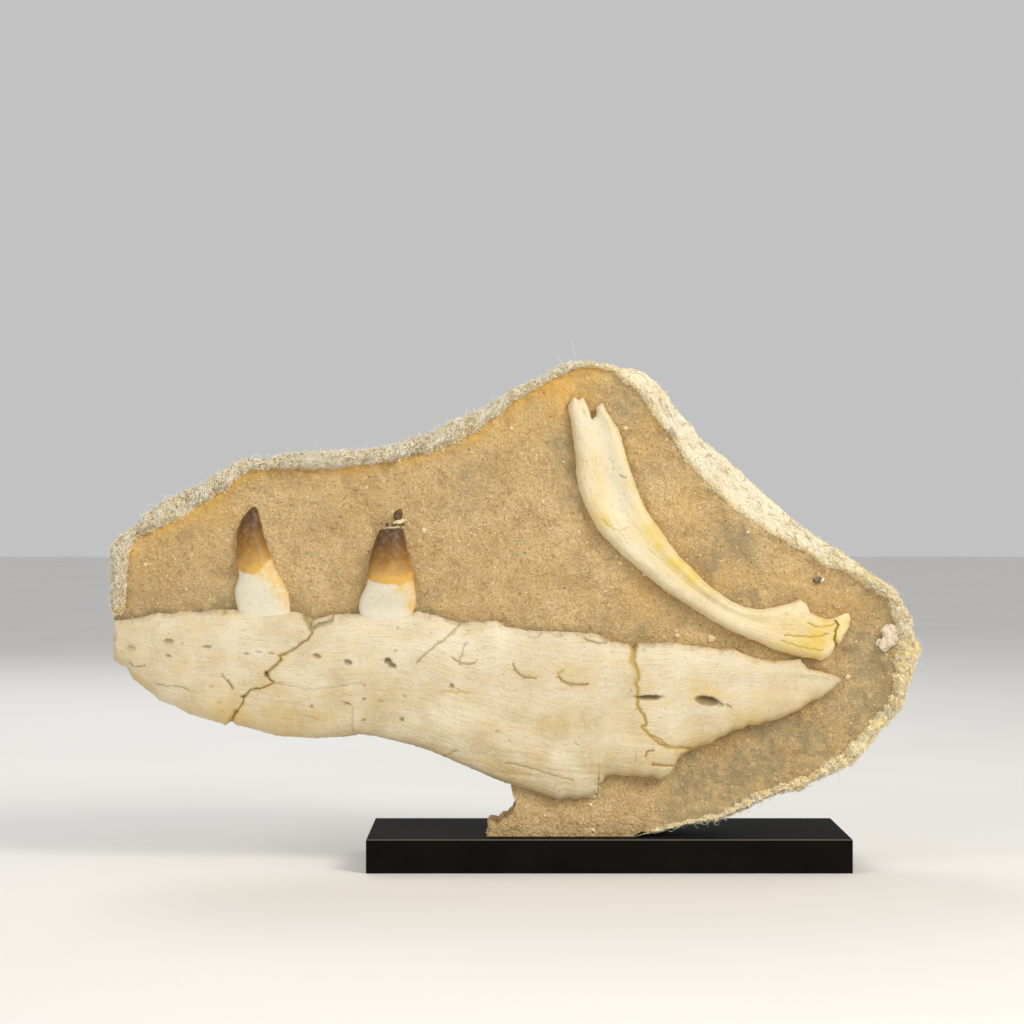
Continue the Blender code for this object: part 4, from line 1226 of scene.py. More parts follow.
@dataclass
class JawBone:
    """The long jaw bone with its foramina, cracks and splintered lower end."""

    spacing_mm: float = 0.95
    fine_mm: float = 0.48
    depth_mm: float = 72.0
    edge: Array = field(default_factory=jaw_edge)
    # Spots along the jaw's upper band, made paler: partly paler bone, partly painted light on the top
    pale_and_highlight_spots: Spots = (
        (430, 625, 60, 0.9), (360, 625, 40, 0.7), (500, 635, 40, 0.8), (180, 628, 50, 0.5),
        (260, 620, 40, 0.4),
        (700, 665, 50, 0.8), (770, 672, 40, 0.7), (600, 650, 50, 0.5), (258, 656, 14, 0.5),
        (660, 700, 40, 0.4),
    )
    yellowed: Spots = (
        (650, 686, 12, 0.35), (700, 688, 13, 0.9), (716, 690, 10, 0.6), (745, 725, 24, 0.4),
        (690, 743, 14, 0.45),
        (790, 700, 26, 0.4), (660, 752, 20, 0.25), (180, 662, 10, 0.4), (225, 613, 7, 0.45),
        (240, 712, 16, 0.35),
        (270, 715, 18, 0.25), (190, 650, 26, 0.15), (360, 655, 24, 0.25), (566, 672, 12, 0.3),
        (588, 668, 14, 0.15),
        (300, 730, 40, 0.2), (215, 705, 22, 0.25), (640, 760, 30, 0.2), (760, 715, 20, 0.25),
        (830, 683, 14, 0.3),
        (520, 690, 40, 0.1), (600, 730, 50, 0.12), (455, 688, 16, 0.15), (284, 657, 9, 0.4),
        (267, 673, 9, 0.3),
    )

    def share(self, x: Array, z: Array) -> Array:
        """0 at the jaw's upper edge and 1 at its lower edge."""
        column, row = column_of(x), row_of(z)
        top, lower = broken_line(JAW_TOP, column), broken_line(JAW_LOWER, column)
        return np.clip((row - top) / (lower - top), 0, 1)

    def pitted(self, x: Array, z: Array) -> tuple[Array, Array]:
        """How deep each point lies in a foramen, and how dark it is there: the dark of the opening, with
        painted shade along its upper side.
        """
        column = column_of(x) + 0.5 * waves(x, z, 1.6, 24, 2)
        row = row_of(z) + 0.4 * waves(x, z, 1.6, 25, 2)
        depth, dark = np.zeros_like(x), np.zeros_like(x)
        for middle_column, middle_row, width, height, deep, turn, darkness in FORAMINA:
            right, down = column - middle_column, row - middle_row
            cosine, sine = math.cos(math.radians(turn)), math.sin(math.radians(turn))
            along = (right * cosine + down * sine) / (0.5 * width)
            over = (down * cosine - right * sine) / (0.5 * height)
            near = np.hypot(along, over)
            depth = np.maximum(depth, deep * eased(-1.25, -0.35, -near))
            # Painted shade: each opening is darker along its upper side
            shadow = darkness * (0.75 + 0.25 * np.clip(-over, -1, 1)) * eased(-1.2, -0.85, -near)
            dark = np.maximum(dark, shadow)
        return depth, dark

    def height(self, x: Array, z: Array) -> Array:
        """Height of the jaw's face, in millimetres."""
        column = column_of(x)
        share = self.share(x, z)
        rounded = np.clip(1 - np.abs(2 * share - 1) ** 3.0, 0, 1) ** 0.5
        middle_part = eased(360, 470, column) * (1 - eased(600, 680, column))
        shelf = 0.10 * fading(share - 0.78, 0.10) * middle_part
        trough = 0.12 * fading(share - 0.42, 0.16) * eased(420, 520, column)
        bulge = broken_line(JAW_BULGE, column)
        away = near_path(x, z, self.edge, 6, True)
        height = (BONE_EDGE_MM + bulge * (rounded + shelf - trough)) * (1 - 0.7 * np.exp(-away / 0.8))
        height += 0.30 * waves(x, z, 24, 31, 3)
        height += 0.05 * waves(x / 9, z, 1.7, 32, 2) + 0.08 * waves(x, z, 4.5, 33, 3)
        grooves = np.clip(waves(x / 16, z + 0.12 * x, 2.6, 34, 3) - 0.25, 0, 1)
        height -= 0.6 * grooves * (0.12 + 0.88 * eased(400, 500, column) * eased(0.35, 0.7, share))
        height -= 1.2 * np.clip(waves(x, z, 3.0, 37, 2) - 0.2, 0, 1) * fading(away, 1.6)
        return height - cracked(x, z, JAW_CRACKS, 21)[0] - self.pitted(x, z)[0]

    def is_fine(self, x: Array, z: Array) -> Array:
        """Whether a point is near a crack, a foramen or the edge."""
        near_edge = near_path(x, z, self.edge, 3, True) < 2.2
        return near_edge | (cracked(x, z, JAW_CRACKS, 21)[0] > 0.04) | (self.pitted(x, z)[0] > 0.03)

    def marks(self, x: Array, z: Array) -> dict[str, Array]:
        """Where the bone is stained or cracked, where its upper band is paler and lit as painted light, and
        its place along and across its grain.
        """
        column = column_of(x)
        share = self.share(x, z)
        _, dark, beside = cracked(x, z, JAW_CRACKS, 21)
        dark = np.maximum(0.85 * dark, self.pitted(x, z)[1])
        patchy = cloudy(x, z, 10, 51)
        stain = beside + spots(x, z, self.yellowed) * (0.3 + 0.9 * patchy) + 0.16 * eased(0.7, 1.0, share)
        away = near_path(x, z, self.edge, 8, True)
        stain += 0.2 * fading(away, 2.0) * patchy * eased(600, 700, column)
        # Painted light: the upper band is made paler, partly its own colour, partly as the top catching the
        # light
        bright = 0.85 * spots(x, z, self.pale_and_highlight_spots) * (0.4 + 0.8 * patchy)
        sandy = np.clip(1.6 * waves(x, z, 3.4, 52, 3), 0, 1) * fading(away, 3.0) * (share < 0.5)
        return {
            "stain": np.clip(stain, 0, 0.85),
            "crack": np.clip(dark + 0.3 * sandy, 0, 0.95),
            "bright": np.clip(bright, 0, 0.9),
            "basin": np.zeros_like(x),
            "along": x,
            "across": share * self.depth_mm,
        }

    def build(self) -> None:
        """Builds the jaw."""
        sheet = Relief(self.edge, self.spacing_mm, self.fine_mm, FACE_Y_MM + JAW_HOLD_MM, 15)
        bone = sheet.build("jaw_bone_relief", self.height, self.marks, SealedBone().material(), self.is_fine)
        hand_over(bone, Piece.BONE, "jaw_bone")


@dataclass
class CurvedBone:
    """The second bone: a curved blade with a notched top, a shallow basin and a split end."""

    spacing_mm: float = 0.85
    fine_mm: float = 0.45
    length_mm: float = 230.0
    width_mm: float = 30.0
    edge: Array = field(default_factory=curved_edge)
    cracks: tuple[Crack, ...] = (
        Crack(((837, 650), (834, 643), (833, 637), (834, 630), (837, 624), (834, 620)), 1.1, 2.2, 0.55, 0.6),
        Crack(((783, 635), (792, 635), (800, 635.5), (808, 637), (816, 636), (826, 633)), 0.8, 0.8, 0.3, 0.7),
        Crack(((806, 622), (814, 626), (822, 627), (830, 625), (836, 621)), 0.9, 0.9, 0.2, 0.8),
        Crack(((647, 549), (655, 556), (665, 565), (676, 575), (688, 585), (700, 594), (712, 602)),
              1.0, 0.6, 0.08),
        Crack(((602, 520), (607, 526), (614, 530), (620, 530), (627, 527)), 0.8, 0.45, 0.22, 0.1),
        Crack(((583, 410), (586, 418)), 0.8, 0.5, 0.25),
        Crack(((620, 476), (625, 477)), 1.0, 0.6, 0.6),
        Crack(((780, 640), (800, 647), (820, 650)), 0.9, 0.6, 0.25, 0.3),
    )
    yellowed: Spots = (
        (600, 515, 9, 0.9), (592, 502, 9, 0.5), (607, 525, 6, 0.5), (682, 571, 11, 1.0), (672, 562, 10, 0.8),
        (690, 578, 8, 0.5), (655, 540, 12, 0.85), (649, 528, 9, 0.4), (640, 508, 8, 0.35),
        (632, 485, 7, 0.35),
        (706, 585, 10, 0.35), (815, 648, 20, 0.6), (800, 650, 18, 0.4), (825, 640, 12, 0.6),
        (843, 625, 10, 0.6),
        (822, 622, 9, 0.7), (590, 462, 10, 0.2), (595, 480, 10, 0.2), (770, 640, 22, 0.25),
        (740, 625, 20, 0.12),
        (612, 425, 8, 0.2), (624, 455, 6, 0.3),
    )

    def along_across(self, x: Array, z: Array) -> tuple[Array, Array]:
        """Share of the way along the bone from its top, and across it from outer to inner edge."""
        outer = on_face([pair[0] for pair in CURVED_PAIRS])
        inner = on_face([pair[1] for pair in CURVED_PAIRS])
        middle, half = (outer + inner) / 2, np.hypot(*(inner - outer).T) / 2
        away, length, side = to_path(x, z, middle)
        lengths = lengths_to(middle)
        along = np.interp(length, lengths, np.linspace(0, 1, len(middle)))
        across = 0.5 + 0.5 * side * away / np.interp(length, lengths, half)
        return along, np.clip(across, 0, 1)

    def height(self, x: Array, z: Array) -> Array:
        """Height of the bone's face, in millimetres."""
        along, across = self.along_across(x, z)
        dome = np.clip(1 - np.abs(2 * across - 1) ** 3.6, 0, 1) ** 0.5
        basin = 0.36 * fading(across - 0.64, 0.2) * (1 - eased(0.33, 0.42, along))
        lower_part = eased(0.45, 0.52, along) * (1 - eased(0.7, 0.8, along))
        groove = 0.22 * fading(across - 0.60, 0.12) * lower_part
        away = near_path(x, z, self.edge, 6, True)
        bulge = broken_line(CURVED_BULGE, along)
        height = (BONE_EDGE_MM + bulge * (dome - basin - groove)) * (1 - 0.65 * np.exp(-away / 0.8))
        height += 0.22 * waves(x, z, 14, 35, 3) + 0.05 * waves(along * 25, across * 22, 1.6, 36, 2)
        grit = (1 - eased(0.38, 0.48, along)) * fading(across - 0.62, 0.26)
        height -= 0.35 * np.clip(waves(x, z, 2.2, 38, 2) - 0.3, 0, 1) * grit
        return height - cracked(x, z, self.cracks, 26)[0]

    def is_fine(self, x: Array, z: Array) -> Array:
        """Whether a point is near a crack or the edge."""
        return (near_path(x, z, self.edge, 3, True) < 2.0) | (cracked(x, z, self.cracks, 26)[0] > 0.04)

    def marks(self, x: Array, z: Array) -> dict[str, Array]:
        """Where the bone is stained, cracked or chalky, where a painted highlight runs along its outer ridge,
        and its place along and across its grain.
        """
        along, across = self.along_across(x, z)
        _, dark, beside = cracked(x, z, self.cracks, 26)
        patchy = cloudy(x, z, 8, 53)
        stain = beside + spots(x, z, self.yellowed) * (0.35 + 0.9 * patchy)
        basin = 0.85 * fading(across - 0.66, 0.2) * (1 - eased(0.32, 0.42, along))
        pits = 0.45 * np.clip(waves(x, z, 2.2, 38, 2) - 0.45, 0, 1) * basin
        lower_part = eased(0.45, 0.52, along) * (1 - eased(0.7, 0.8, along))
        basin += 0.45 * fading(across - 0.58, 0.10) * lower_part
        # Painted highlight along the rounded outer ridge
        bright = 0.7 * fading(across - 0.25, 0.2) * (0.5 + 0.6 * patchy)
        return {
            "stain": np.clip(stain, 0, 0.9),
            "crack": np.clip(np.maximum(dark, pits), 0, 0.95),
            "bright": np.clip(bright, 0, 0.8),
            "basin": np.clip(basin, 0, 0.9),
            "along": along * self.length_mm,
            "across": across * self.width_mm,
        }

    def build(self) -> None:
        """Builds the curved bone."""
        sheet = Relief(self.edge, self.spacing_mm, self.fine_mm, FACE_Y_MM + CURVED_HOLD_MM, 25)
        warm = SealedBone(
            "sealed_fossil_bone_warm",
            ground="#ddc799",
            pale="#f0e1bb",
            bright="#f6ecd3",
            streak="#cdb384",
            stain="#e6c962",
            basin="#e3dac0",
        )
        bone = sheet.build("curved_bone_relief", self.height, self.marks, warm.material(), self.is_fine)
        hand_over(bone, Piece.BONE, "curved_bone")


@dataclass
class Tooth:
    """A tooth: crown over root, or a broken tip.

    Attributes:
        name: The piece's name.
        node: The CAD node that it stands for.
        rows: Row, left column and right column of each section from the tip down.
        border: The crown's lower edge on the grid, empty for a tip.
        stain: Column, row and radius in steps of each stain on the root, and its strength.
        dark_side: Where across the crown its darkest streak runs, 0 at the left and 1 at the right.
        rough_mm: How uneven its surface is.
        paler: How much further down its colours begin.
    """

    name: str
    node: str
    rows: ToothRows
    border: Points
    stain: Spots
    dark_side: float
    rough_mm: float = 0.0
    paler: float = 0.0
    around: int = 80
    down: int = 130
    root_depth_mm: float = 7.0

    def form(self) -> tuple[Array, Array, Array, Array]:
        """Column, row, height out of the rock's face and root share of each point of its front."""
        rows = rounded_corners(np.array(self.rows, float), 2, closed=False)
        levels = np.linspace(rows[0, 0], rows[-1, 0], self.down)
        left, right = np.interp(levels, rows[:, 0], rows[:, 1]), np.interp(levels, rows[:, 0], rows[:, 2])
        angle = np.linspace(0, math.pi, self.around)[None]
        middle, half = ((left + right) / 2)[:, None], ((right - left) / 2)[:, None]
        column = middle - half * np.cos(angle)
        row = np.repeat(levels[:, None], self.around, 1)
        edge = broken_line(self.border, column) if self.border else np.full_like(column, 1e3)
        x, z = column * STEP_MM, row * STEP_MM
        root = 1 / (1 + np.exp(-(row - edge - 0.9 * waves(x, z, 1.6, 61, 3)) / 0.35))
        low = eased(float(np.min(edge)) - 4, rows[-1, 0] - 6, row) if self.border else np.zeros_like(row)
        deep = 0.85 * half * STEP_MM * (1 - low) + self.root_depth_mm * low
        squarer = np.sin(angle) ** (1 - 0.45 * low)
        streaks = waves(angle * 9 + 0 * row, row * 0.02, 0.42, 62, 2)
        uneven = 0.07 * streaks * (1 - root) + 0.16 * waves(x, z, 3.4, 63, 3) * root - 0.2 * root
        uneven += self.rough_mm * waves(x, z, 1.8, 66, 2)
        return column, row, 1.0 + (deep + uneven) * squarer, root

    def marks(self, column: Array, row: Array, root: Array) -> dict[str, Array]:
        """Values for the finish: how far down, root, stain and dark streaks."""
        x, z = column * STEP_MM, row * STEP_MM
        low_row = self.rows[-1][0] + 60
        if self.border:
            low_row = float(np.mean([place[1] for place in self.border]))
        share = np.clip((row - self.rows[0][0]) / (low_row - self.rows[0][0]), 0, 1)
        across = np.linspace(0, 1, self.around)[None]
        down = np.clip(share + self.paler + 0.06 * waves(x, z, 4, 64, 2) + 0.10 * (across - 0.5), 0, 1)
        fine = np.clip(0.3 * waves(across * 26 + 0 * row, row * 0.03, 1.0, 67, 3), 0, 0.25)
        fine *= 1 - eased(0.6, 0.9, share)
        side = 0.75 * fading(across - self.dark_side, 0.07) * (1 - eased(0.45, 0.85, share))
        flat = on_face(np.stack([column.ravel(), row.ravel()], 1))
        stain = spots(flat[:, 0], flat[:, 1], self.stain).reshape(column.shape)
        stain = np.clip(stain * (0.75 + 0.5 * waves(x, z, 2.4, 65, 3)), 0, 0.8)
        return {"down": down, "root": root, "stain": stain, "streak": np.clip(fine + side, 0, 0.85)}

    def build(self, material: Material) -> None:
        """Lofts the tooth and dresses it.

        Args:
            material: The finish shared by all teeth.
        """
        column, row, out, root = self.form()
        flat = on_face(np.stack([column.ravel(), row.ravel()], 1)).reshape(self.down, self.around, 2)
        front = np.stack([flat[..., 0], FACE_Y_MM - out, flat[..., 1]], 2)
        back = front[:, [-1, 0]].copy()
        back[:, :, 1] = FACE_Y_MM + TOOTH_HOLD_MM
        ring = np.concatenate([front, back], 1)
        count = ring.shape[1]
        level, turn = np.meshgrid(np.arange(self.down - 1), np.arange(count), indexing="ij")
        here, beside = (level * count + turn).ravel(), (level * count + (turn + 1) % count).ravel()
        sides = [
            np.stack([here, here + count, beside], 1),
            np.stack([beside, here + count, beside + count], 1),
        ]
        points = np.concatenate([ring.reshape(-1, 3), [ring[0].mean(0), ring[-1].mean(0)]])
        turn = np.arange(count)
        last = (self.down - 1) * count
        top = np.stack([turn, (turn + 1) % count, np.full(count, len(points) - 2)], 1)
        bottom = np.stack([last + (turn + 1) % count, last + turn, np.full(count, len(points) - 1)], 1)
        marks = {}
        for mark, values in self.marks(column, row, root).items():
            around = np.concatenate([values, values[:, [-1, 0]]], 1).ravel()
            marks[mark] = np.concatenate([around, [values[0].mean(), values[-1].mean()]])
        tooth = make_object(self.name, points, np.concatenate([*sides, top, bottom]), marks, material)
        hand_over(tooth, Piece.TOOTH, self.node)


TEETH: tuple[Tooth, ...] = (
    Tooth(
        "front_tooth_crown_root",
        "front_tooth",
        FRONT_TOOTH,
        border=(
            (230, 570), (240, 570), (245, 573), (253, 574), (260, 572), (264, 567), (270, 560), (290, 552),
        ),
        stain=(
            (271, 562, 9, 1.2), (276, 573, 9, 1.1), (282, 586, 8, 1.1), (288, 599, 9, 1.0),
            (261, 573, 7, 0.8),
        ),
        dark_side=0.93,
    ),
    Tooth(
        "rear_tooth_crown_root",
        "rear_tooth",
        REAR_TOOTH,
        border=(
            (360, 578), (371, 580), (376, 582), (384, 583), (393, 584), (401, 585), (408, 581), (420, 577),
        ),
        stain=((411, 584, 9, 1.2), (415, 596, 8, 1.2), (414, 607, 7, 1.1), (398, 587, 7, 0.4)),
        dark_side=0.10,
        paler=0.07,
    ),
    Tooth("rear_tooth_tip_chip", "rear_tooth_tip", TOOTH_TIP, (), (), 0.5, rough_mm=0.5, around=32, down=24),
)


@dataclass(frozen=True)
class Shell:
    """The jacket as a grid of points: rings from the rock over the rim to the back, places round the edge.

    Attributes:
        points: Rings by places by 3, in millimetres.
        normals: The direction out of the shell at each point.
        spacing_mm: Distance between places.
    """

    points: Array
    normals: Array
    spacing_mm: float

    def at(self, ring: Array, place: Array, lift: Array) -> Array:
        """Points on the shell at fractional rings and places, lifted off it.

        Args:
            ring: Fractional ring of each point.
            place: Fractional place of each point, which may run past the last.
            lift: Height off the shell in millimetres.

        Returns:
            The points.
        """
        count = self.points.shape[1]
        low_ring, low_place = np.floor(ring).astype(int), np.floor(place).astype(int)
        part, turn = (ring - low_ring)[:, None], (place - low_place)[:, None]
        low_place, next_place = low_place % count, (low_place + 1) % count
        next_ring = np.minimum(low_ring + 1, len(self.points) - 1)
        found = []
        for grid in (self.points, self.normals):
            before = grid[low_ring, low_place] * (1 - part) + grid[next_ring, low_place] * part
            after = grid[low_ring, next_place] * (1 - part) + grid[next_ring, next_place] * part
            found.append(before * (1 - turn) + after * turn)
        return found[0] + found[1] * lift[:, None]

    def ring_gap(self, ring: Array, place: Array) -> Array:
        """Distance between rings at each place, in millimetres."""
        low = np.clip(ring.astype(int), 0, len(self.points) - 2)
        where = np.floor(place).astype(int) % self.points.shape[1]
        return np.maximum(np.linalg.norm(self.points[low + 1, where] - self.points[low, where], axis=1), 0.15)


@dataclass
class FieldJacket:
    """The plaster and burlap jacket: rolled rim, side and domed back.

    Attributes:
        rock: The rock that it holds, whose face the rim runs on to.
        spacing_mm: Distance between points round its edge.
        rim_rings: How many rings of points cross the rim.
        side_rings: How many rings cross its side.
        crumb_count: How many crumbs lie on the rim.
        side_mm: Length across its side.
        spine: The middle line that its back rises to, on the grid.
        dome: How its back rises: share of the way to the spine, depth, and depth at the foot. The last
            ring dips under the other side, so that the back is closed.
    """

    rock: RockFill
    spacing_mm: float = 0.95
    rim_rings: int = 24
    side_rings: int = 12
    crumb_count: int = 7800
    side_mm: float = 49.0
    spine: Points = ((190, 600), (800, 662))
    dome: tuple[tuple[float, float, float], ...] = (
        (0.0, 5.0, 14.0), (0.05, 14.0, 20.0), (0.16, 22.0, 25.0), (0.36, 29.0, 29.0), (0.62, 34.0, 34.0),
        (0.80, 36.0, 36.0), (1.0, 36.4, 36.4), (1.02, 35.6, 35.6),
    )
    white_spots: Spots = (
        (640, 375, 26, 0.9), (670, 415, 24, 0.8), (705, 458, 26, 1.0), (745, 490, 28, 1.0),
        (780, 520, 26, 0.9),
        (815, 545, 24, 0.6), (300, 455, 60, 0.4), (230, 475, 30, 0.5), (170, 505, 26, 0.5),
        (850, 565, 20, 0.4),
    )

    def to_spine(self, edge: Array) -> Array:
        """For each point of the edge, the vector to the nearest place on the spine."""
        line = on_face(self.spine)
        best, way = np.full(len(edge), np.inf), np.zeros_like(edge)
        for start, end in zip(line, line[1:]):
            run = end - start
            share = np.clip((edge - start) @ run / (run @ run), 0, 1)
            gap = start + share[:, None] * run - edge
            nearer = np.hypot(*gap.T) < best
            best = np.where(nearer, np.hypot(*gap.T), best)
            way = np.where(nearer[:, None], gap, way)
        reach = round(25 / self.spacing_mm)
        return np.stack([evened(part, reach) for part in (edge + way).T], 1) - edge

    def rim_width(self, edge: Array, way: Array) -> Array:
        """How far the rock's edge lies from each point of the jacket's edge, towards the spine."""
        rock = on_face(ROCK_OUTLINE)
        unit = way / np.hypot(*way.T)[:, None]
        width = np.full(len(edge), 26.0)
        for distance in np.arange(25.5, 0.9, -0.5):
            probe = edge + unit * distance
            width = np.where(inside(probe[:, 0], probe[:, 1], rock), distance, width)
        return evened(width, round(4 / self.spacing_mm))

    def build(self) -> None:
        """Builds the jacket's shell and its threads."""
        outline = on_face(JACKET_OUTLINE)
        edge = resampled(outline, self.spacing_mm)
        steps, corners = lengths_to(edge), lengths_to(outline)
        free_start, free_end = (corners[JACKET_OUTLINE.index(place)] for place in (FREE_FROM, FREE_TO))
        free = (steps > free_start - 0.6) & (steps < free_end + 0.1)
        foot = eased(FLOOR_ROW - 9, FLOOR_ROW, row_of(edge[:, 1]))
        way = self.to_spine(edge)
        width = self.rim_width(edge, way)
        flat, depths, across = self.rings(edge, way, width, free, foot)
        points = np.stack([flat[..., 0], depths, flat[..., 1]], 2)
        around = np.repeat(steps[None], len(flat), 0)
        points, normals = self.roughened(points, across, free, foot)
        self.skin(points, around, across)
        shell = Shell(points, normals, self.spacing_mm)
        threads = Burlap(edge, free | (foot > 0.6), shell, self.rim_rings)
        threads.build()
        self.crumbs(shell, threads)

    def rings(
        self, edge: Array, way: Array, width: Array, free: Array, foot: Array
    ) -> tuple[Array, Array, Array]:
        """Lays the rings of the shell out.

        Args:
            edge: Points of the jacket's edge.
            way: The vector from each to the spine.
            width: The width of the rim at each.
            free: Which places have no rim in front.
            foot: How much each place belongs to the foot.

        Returns:
            The (x, z) of each ring's points, their depth y, and the length across the shell.
        """
        reach = np.hypot(*way.T)
        unit = way / reach[:, None]
        column = column_of(edge[:, 0])
        plastered = eased(600, 640, column) * (1 - eased(830, 870, column)) * (row_of(edge[:, 1]) < 620)
        crest = 2.4 + 3.6 * np.clip(width / 10, 0, 1) - 2.6 * plastered
        flat, depths, across = [], [], []
        for share in np.linspace(1.3, 0.0, self.rim_rings):
            place = edge + unit * (width * share * (1 - 0.9 * foot))[:, None]
            profile = np.clip(1 - (abs(share - 0.42) / 0.6) ** (2 + 2.5 * plastered), 0, 1)
            level = FACE_Y_MM + 0.5 - self.rock.height(place[:, 0], place[:, 1])
            depth = (level - crest * profile + max(share - 1.03, 0) * width) * (1 - foot) - 44.0 * foot
            flat.append(place)
            depths.append(np.where(free, 0.3, depth))
            across.append(-share * width)
        front = depths[-1]
        behind = self.dome[0][1] * (1 - foot) + self.dome[0][2] * foot
        for share in np.linspace(0, 1, self.side_rings + 1)[1:]:
            flat.append(edge)
            depths.append(front * (1 - share) + behind * share)
            across.append(share * self.side_mm + 0 * width)
        shares, deep, foot_deep = np.array(self.dome).T
        for share in (*np.linspace(0, 0.16, 8)[1:], *np.linspace(0.16, 1.0, 20)[1:], 1.02):
            flat.append(edge + way * share)
            plain, footed = np.interp(share, shares, deep), np.interp(share, shares, foot_deep)
            depths.append(plain * (1 - foot) + footed * foot)
            across.append(self.side_mm + share * reach)
        return np.array(flat), np.array(depths), np.array(across)

    def roughened(self, points: Array, across: Array, free: Array, foot: Array) -> tuple[Array, Array]:
        """Moves the shell's points by the lumps and overlapping strips of hand-laid plaster.

        Args:
            points: Rings of points.
            across: Length across the shell of each point.
            free: Which places round the edge have no rim in front.
            foot: How much each place belongs to the foot.

        Returns:
            The moved points, and the normals out of the shell.
        """
        run = np.roll(points, -4, 1) - np.roll(points, 4, 1)
        over = np.empty_like(points)
        over[2:-2] = points[4:] - points[:-4]
        over[:2], over[-2:] = over[2], over[-3]
        normal = np.cross(run, over)
        normal /= np.maximum(np.linalg.norm(normal, axis=2), 1e-9)[..., None]
        normal[-4:] = (0.0, 1.0, 0.0)
        column, row = column_of(points[..., 0]), row_of(points[..., 2])
        crusty = np.clip(eased(840, 890, column) + eased(690, 760, row) * eased(640, 700, column), 0, 1)
        ragged = np.clip(crusty + (1 - eased(540, 600, column)), 0, 1) * (across < 12)
        u, v = points[..., 0] + 0.8 * points[..., 1], points[..., 2] - 0.6 * points[..., 1]
        lumps = 0.6 * waves(u, v, 16, 71, 2) + 0.45 * waves(u, v, 6, 72, 2)
        lumps += (0.25 + 0.5 * ragged + 0.4 * crusty) * waves(u, v, 2.4, 74, 2) * (across < 20)
        strip = ((points[..., 0] + 0.35 * points[..., 2]) / 82) % 1
        lumps += 1.5 * (0.5 - strip) * eased(self.side_mm, 75, across) * eased(-235, -205, points[..., 0])
        open_edge = evened(free.astype(float), round(6 / self.spacing_mm))
        lumps = lumps * (1 - np.maximum(foot, 0.7 * open_edge))[None]
        return points + normal * lumps[..., None], normal

    def skin(self, points: Array, around: Array, across: Array) -> None:
        """Makes the shell's mesh.

        Args:
            points: Rings of points.
            around: Length round the edge of each point.
            across: Length across the shell of each point.
        """
        count = points.shape[1]
        ring, turn = np.meshgrid(np.arange(len(points) - 1), np.arange(count), indexing="ij")
        here, beside = (ring * count + turn).ravel(), (ring * count + (turn + 1) % count).ravel()
        halves = [
            np.stack([here, beside, here + count], 1),
            np.stack([beside, beside + count, here + count], 1),
        ]
        marks = {mark: value.ravel() for mark, value in self.marks(points, around, across).items()}
        finish = BurlapPlaster().material()
        shell = make_object("jacket_shell", points.reshape(-1, 3), np.concatenate(halves), marks, finish, 75)
        hand_over(shell, Piece.PLASTER, "plaster_jacket")

    def crumbs(self, shell: Shell, threads: Burlap) -> None:
        """Scatters crumbs of plaster and sand over the rim, thickest at its inner border.

        Args:
            shell: The jacket's surface.
            threads: The burlap, which knows where the rim is bare.
        """
        random = np.random.default_rng(17)
        column = column_of(threads.edge[:, 0])
        plastered = (column > 640) & (column < 830) & (row_of(threads.edge[:, 1]) < 620)
        weight = (~threads.bare) * np.where(column < 580, 0.6, np.where(plastered, 0.35, 1.0))
        chosen = random.choice(len(weight), self.crumb_count, p=weight / weight.sum())
        place = chosen + random.random(self.crumb_count)
        spread = random.normal(0, 1, self.crumb_count)
        inner = random.random(self.crumb_count) < np.where((column < 580) | plastered, 0.95, 0.6)[chosen]
        ring = np.where(inner, 6.5 + 2.2 * spread, random.uniform(5, self.rim_rings + 4, self.crumb_count))
        size = 0.26 + 0.9 * random.random(self.crumb_count) ** 3
        middle = shell.at(np.clip(ring, 4, self.rim_rings + 6), place, -0.1 * size)
        finish = DyedByTone("plaster_crumbs", "#c3a565", "#efdba3", "#fff6db", 0.9)
        crumbs = strewn("rim_crumbs", middle, size, random, finish.material())
        hand_over(crumbs, Piece.PLASTER, "plaster_jacket")

    def marks(self, points: Array, around: Array, across: Array) -> dict[str, Array]:
        """Where the plaster is white, bare or crusty, and where it is dusty or painted with shade in the gaps
        between the threads.
        """
        x, z = points[..., 0], points[..., 2]
        column, row = column_of(x), row_of(z)
        patchy = cloudy(x + 0.8 * points[..., 1], z, 26, 73)
        front = (across < 6).astype(float)
        white = spots(x, z, self.white_spots) * front
        behind = eased(4, 20, across)
        upper_left = 1 - eased(540, 620, column)
        turned = across > 60
        weave = np.clip(1.5 * patchy - 0.3, 0, 1) * (0.9 * behind + 0.25 * upper_left * (1 - behind))
        weave *= 1 - fading(across - 60, 6)
        crust = 0.7 * (eased(840, 890, column) + eased(690, 760, row) * eased(640, 700, column)) * front
        crust *= 0.4 + 0.6 * patchy
        inner = fading(across + 13, 4.0) * front
        # Dust, and painted shade: along the upper left, under the thick mat of threads, the shell is darkened
        # so that dark gaps show between them
        dust = 0.10 * patchy + 0.45 * upper_left * front + 0.35 * inner
        return {
            "around": np.where(turned, x, around),
            "across": np.where(turned, z, across),
            "white": np.clip(white, 0, 1),
            "weave": np.clip(weave * (1 - 0.9 * np.clip(white, 0, 1)), 0, 1),
            "crust": np.clip(1.2 * crust, 0, 0.9),
            "dust": np.clip(dust * (1 - 0.7 * np.clip(white, 0, 1)), 0, 0.7),
        }


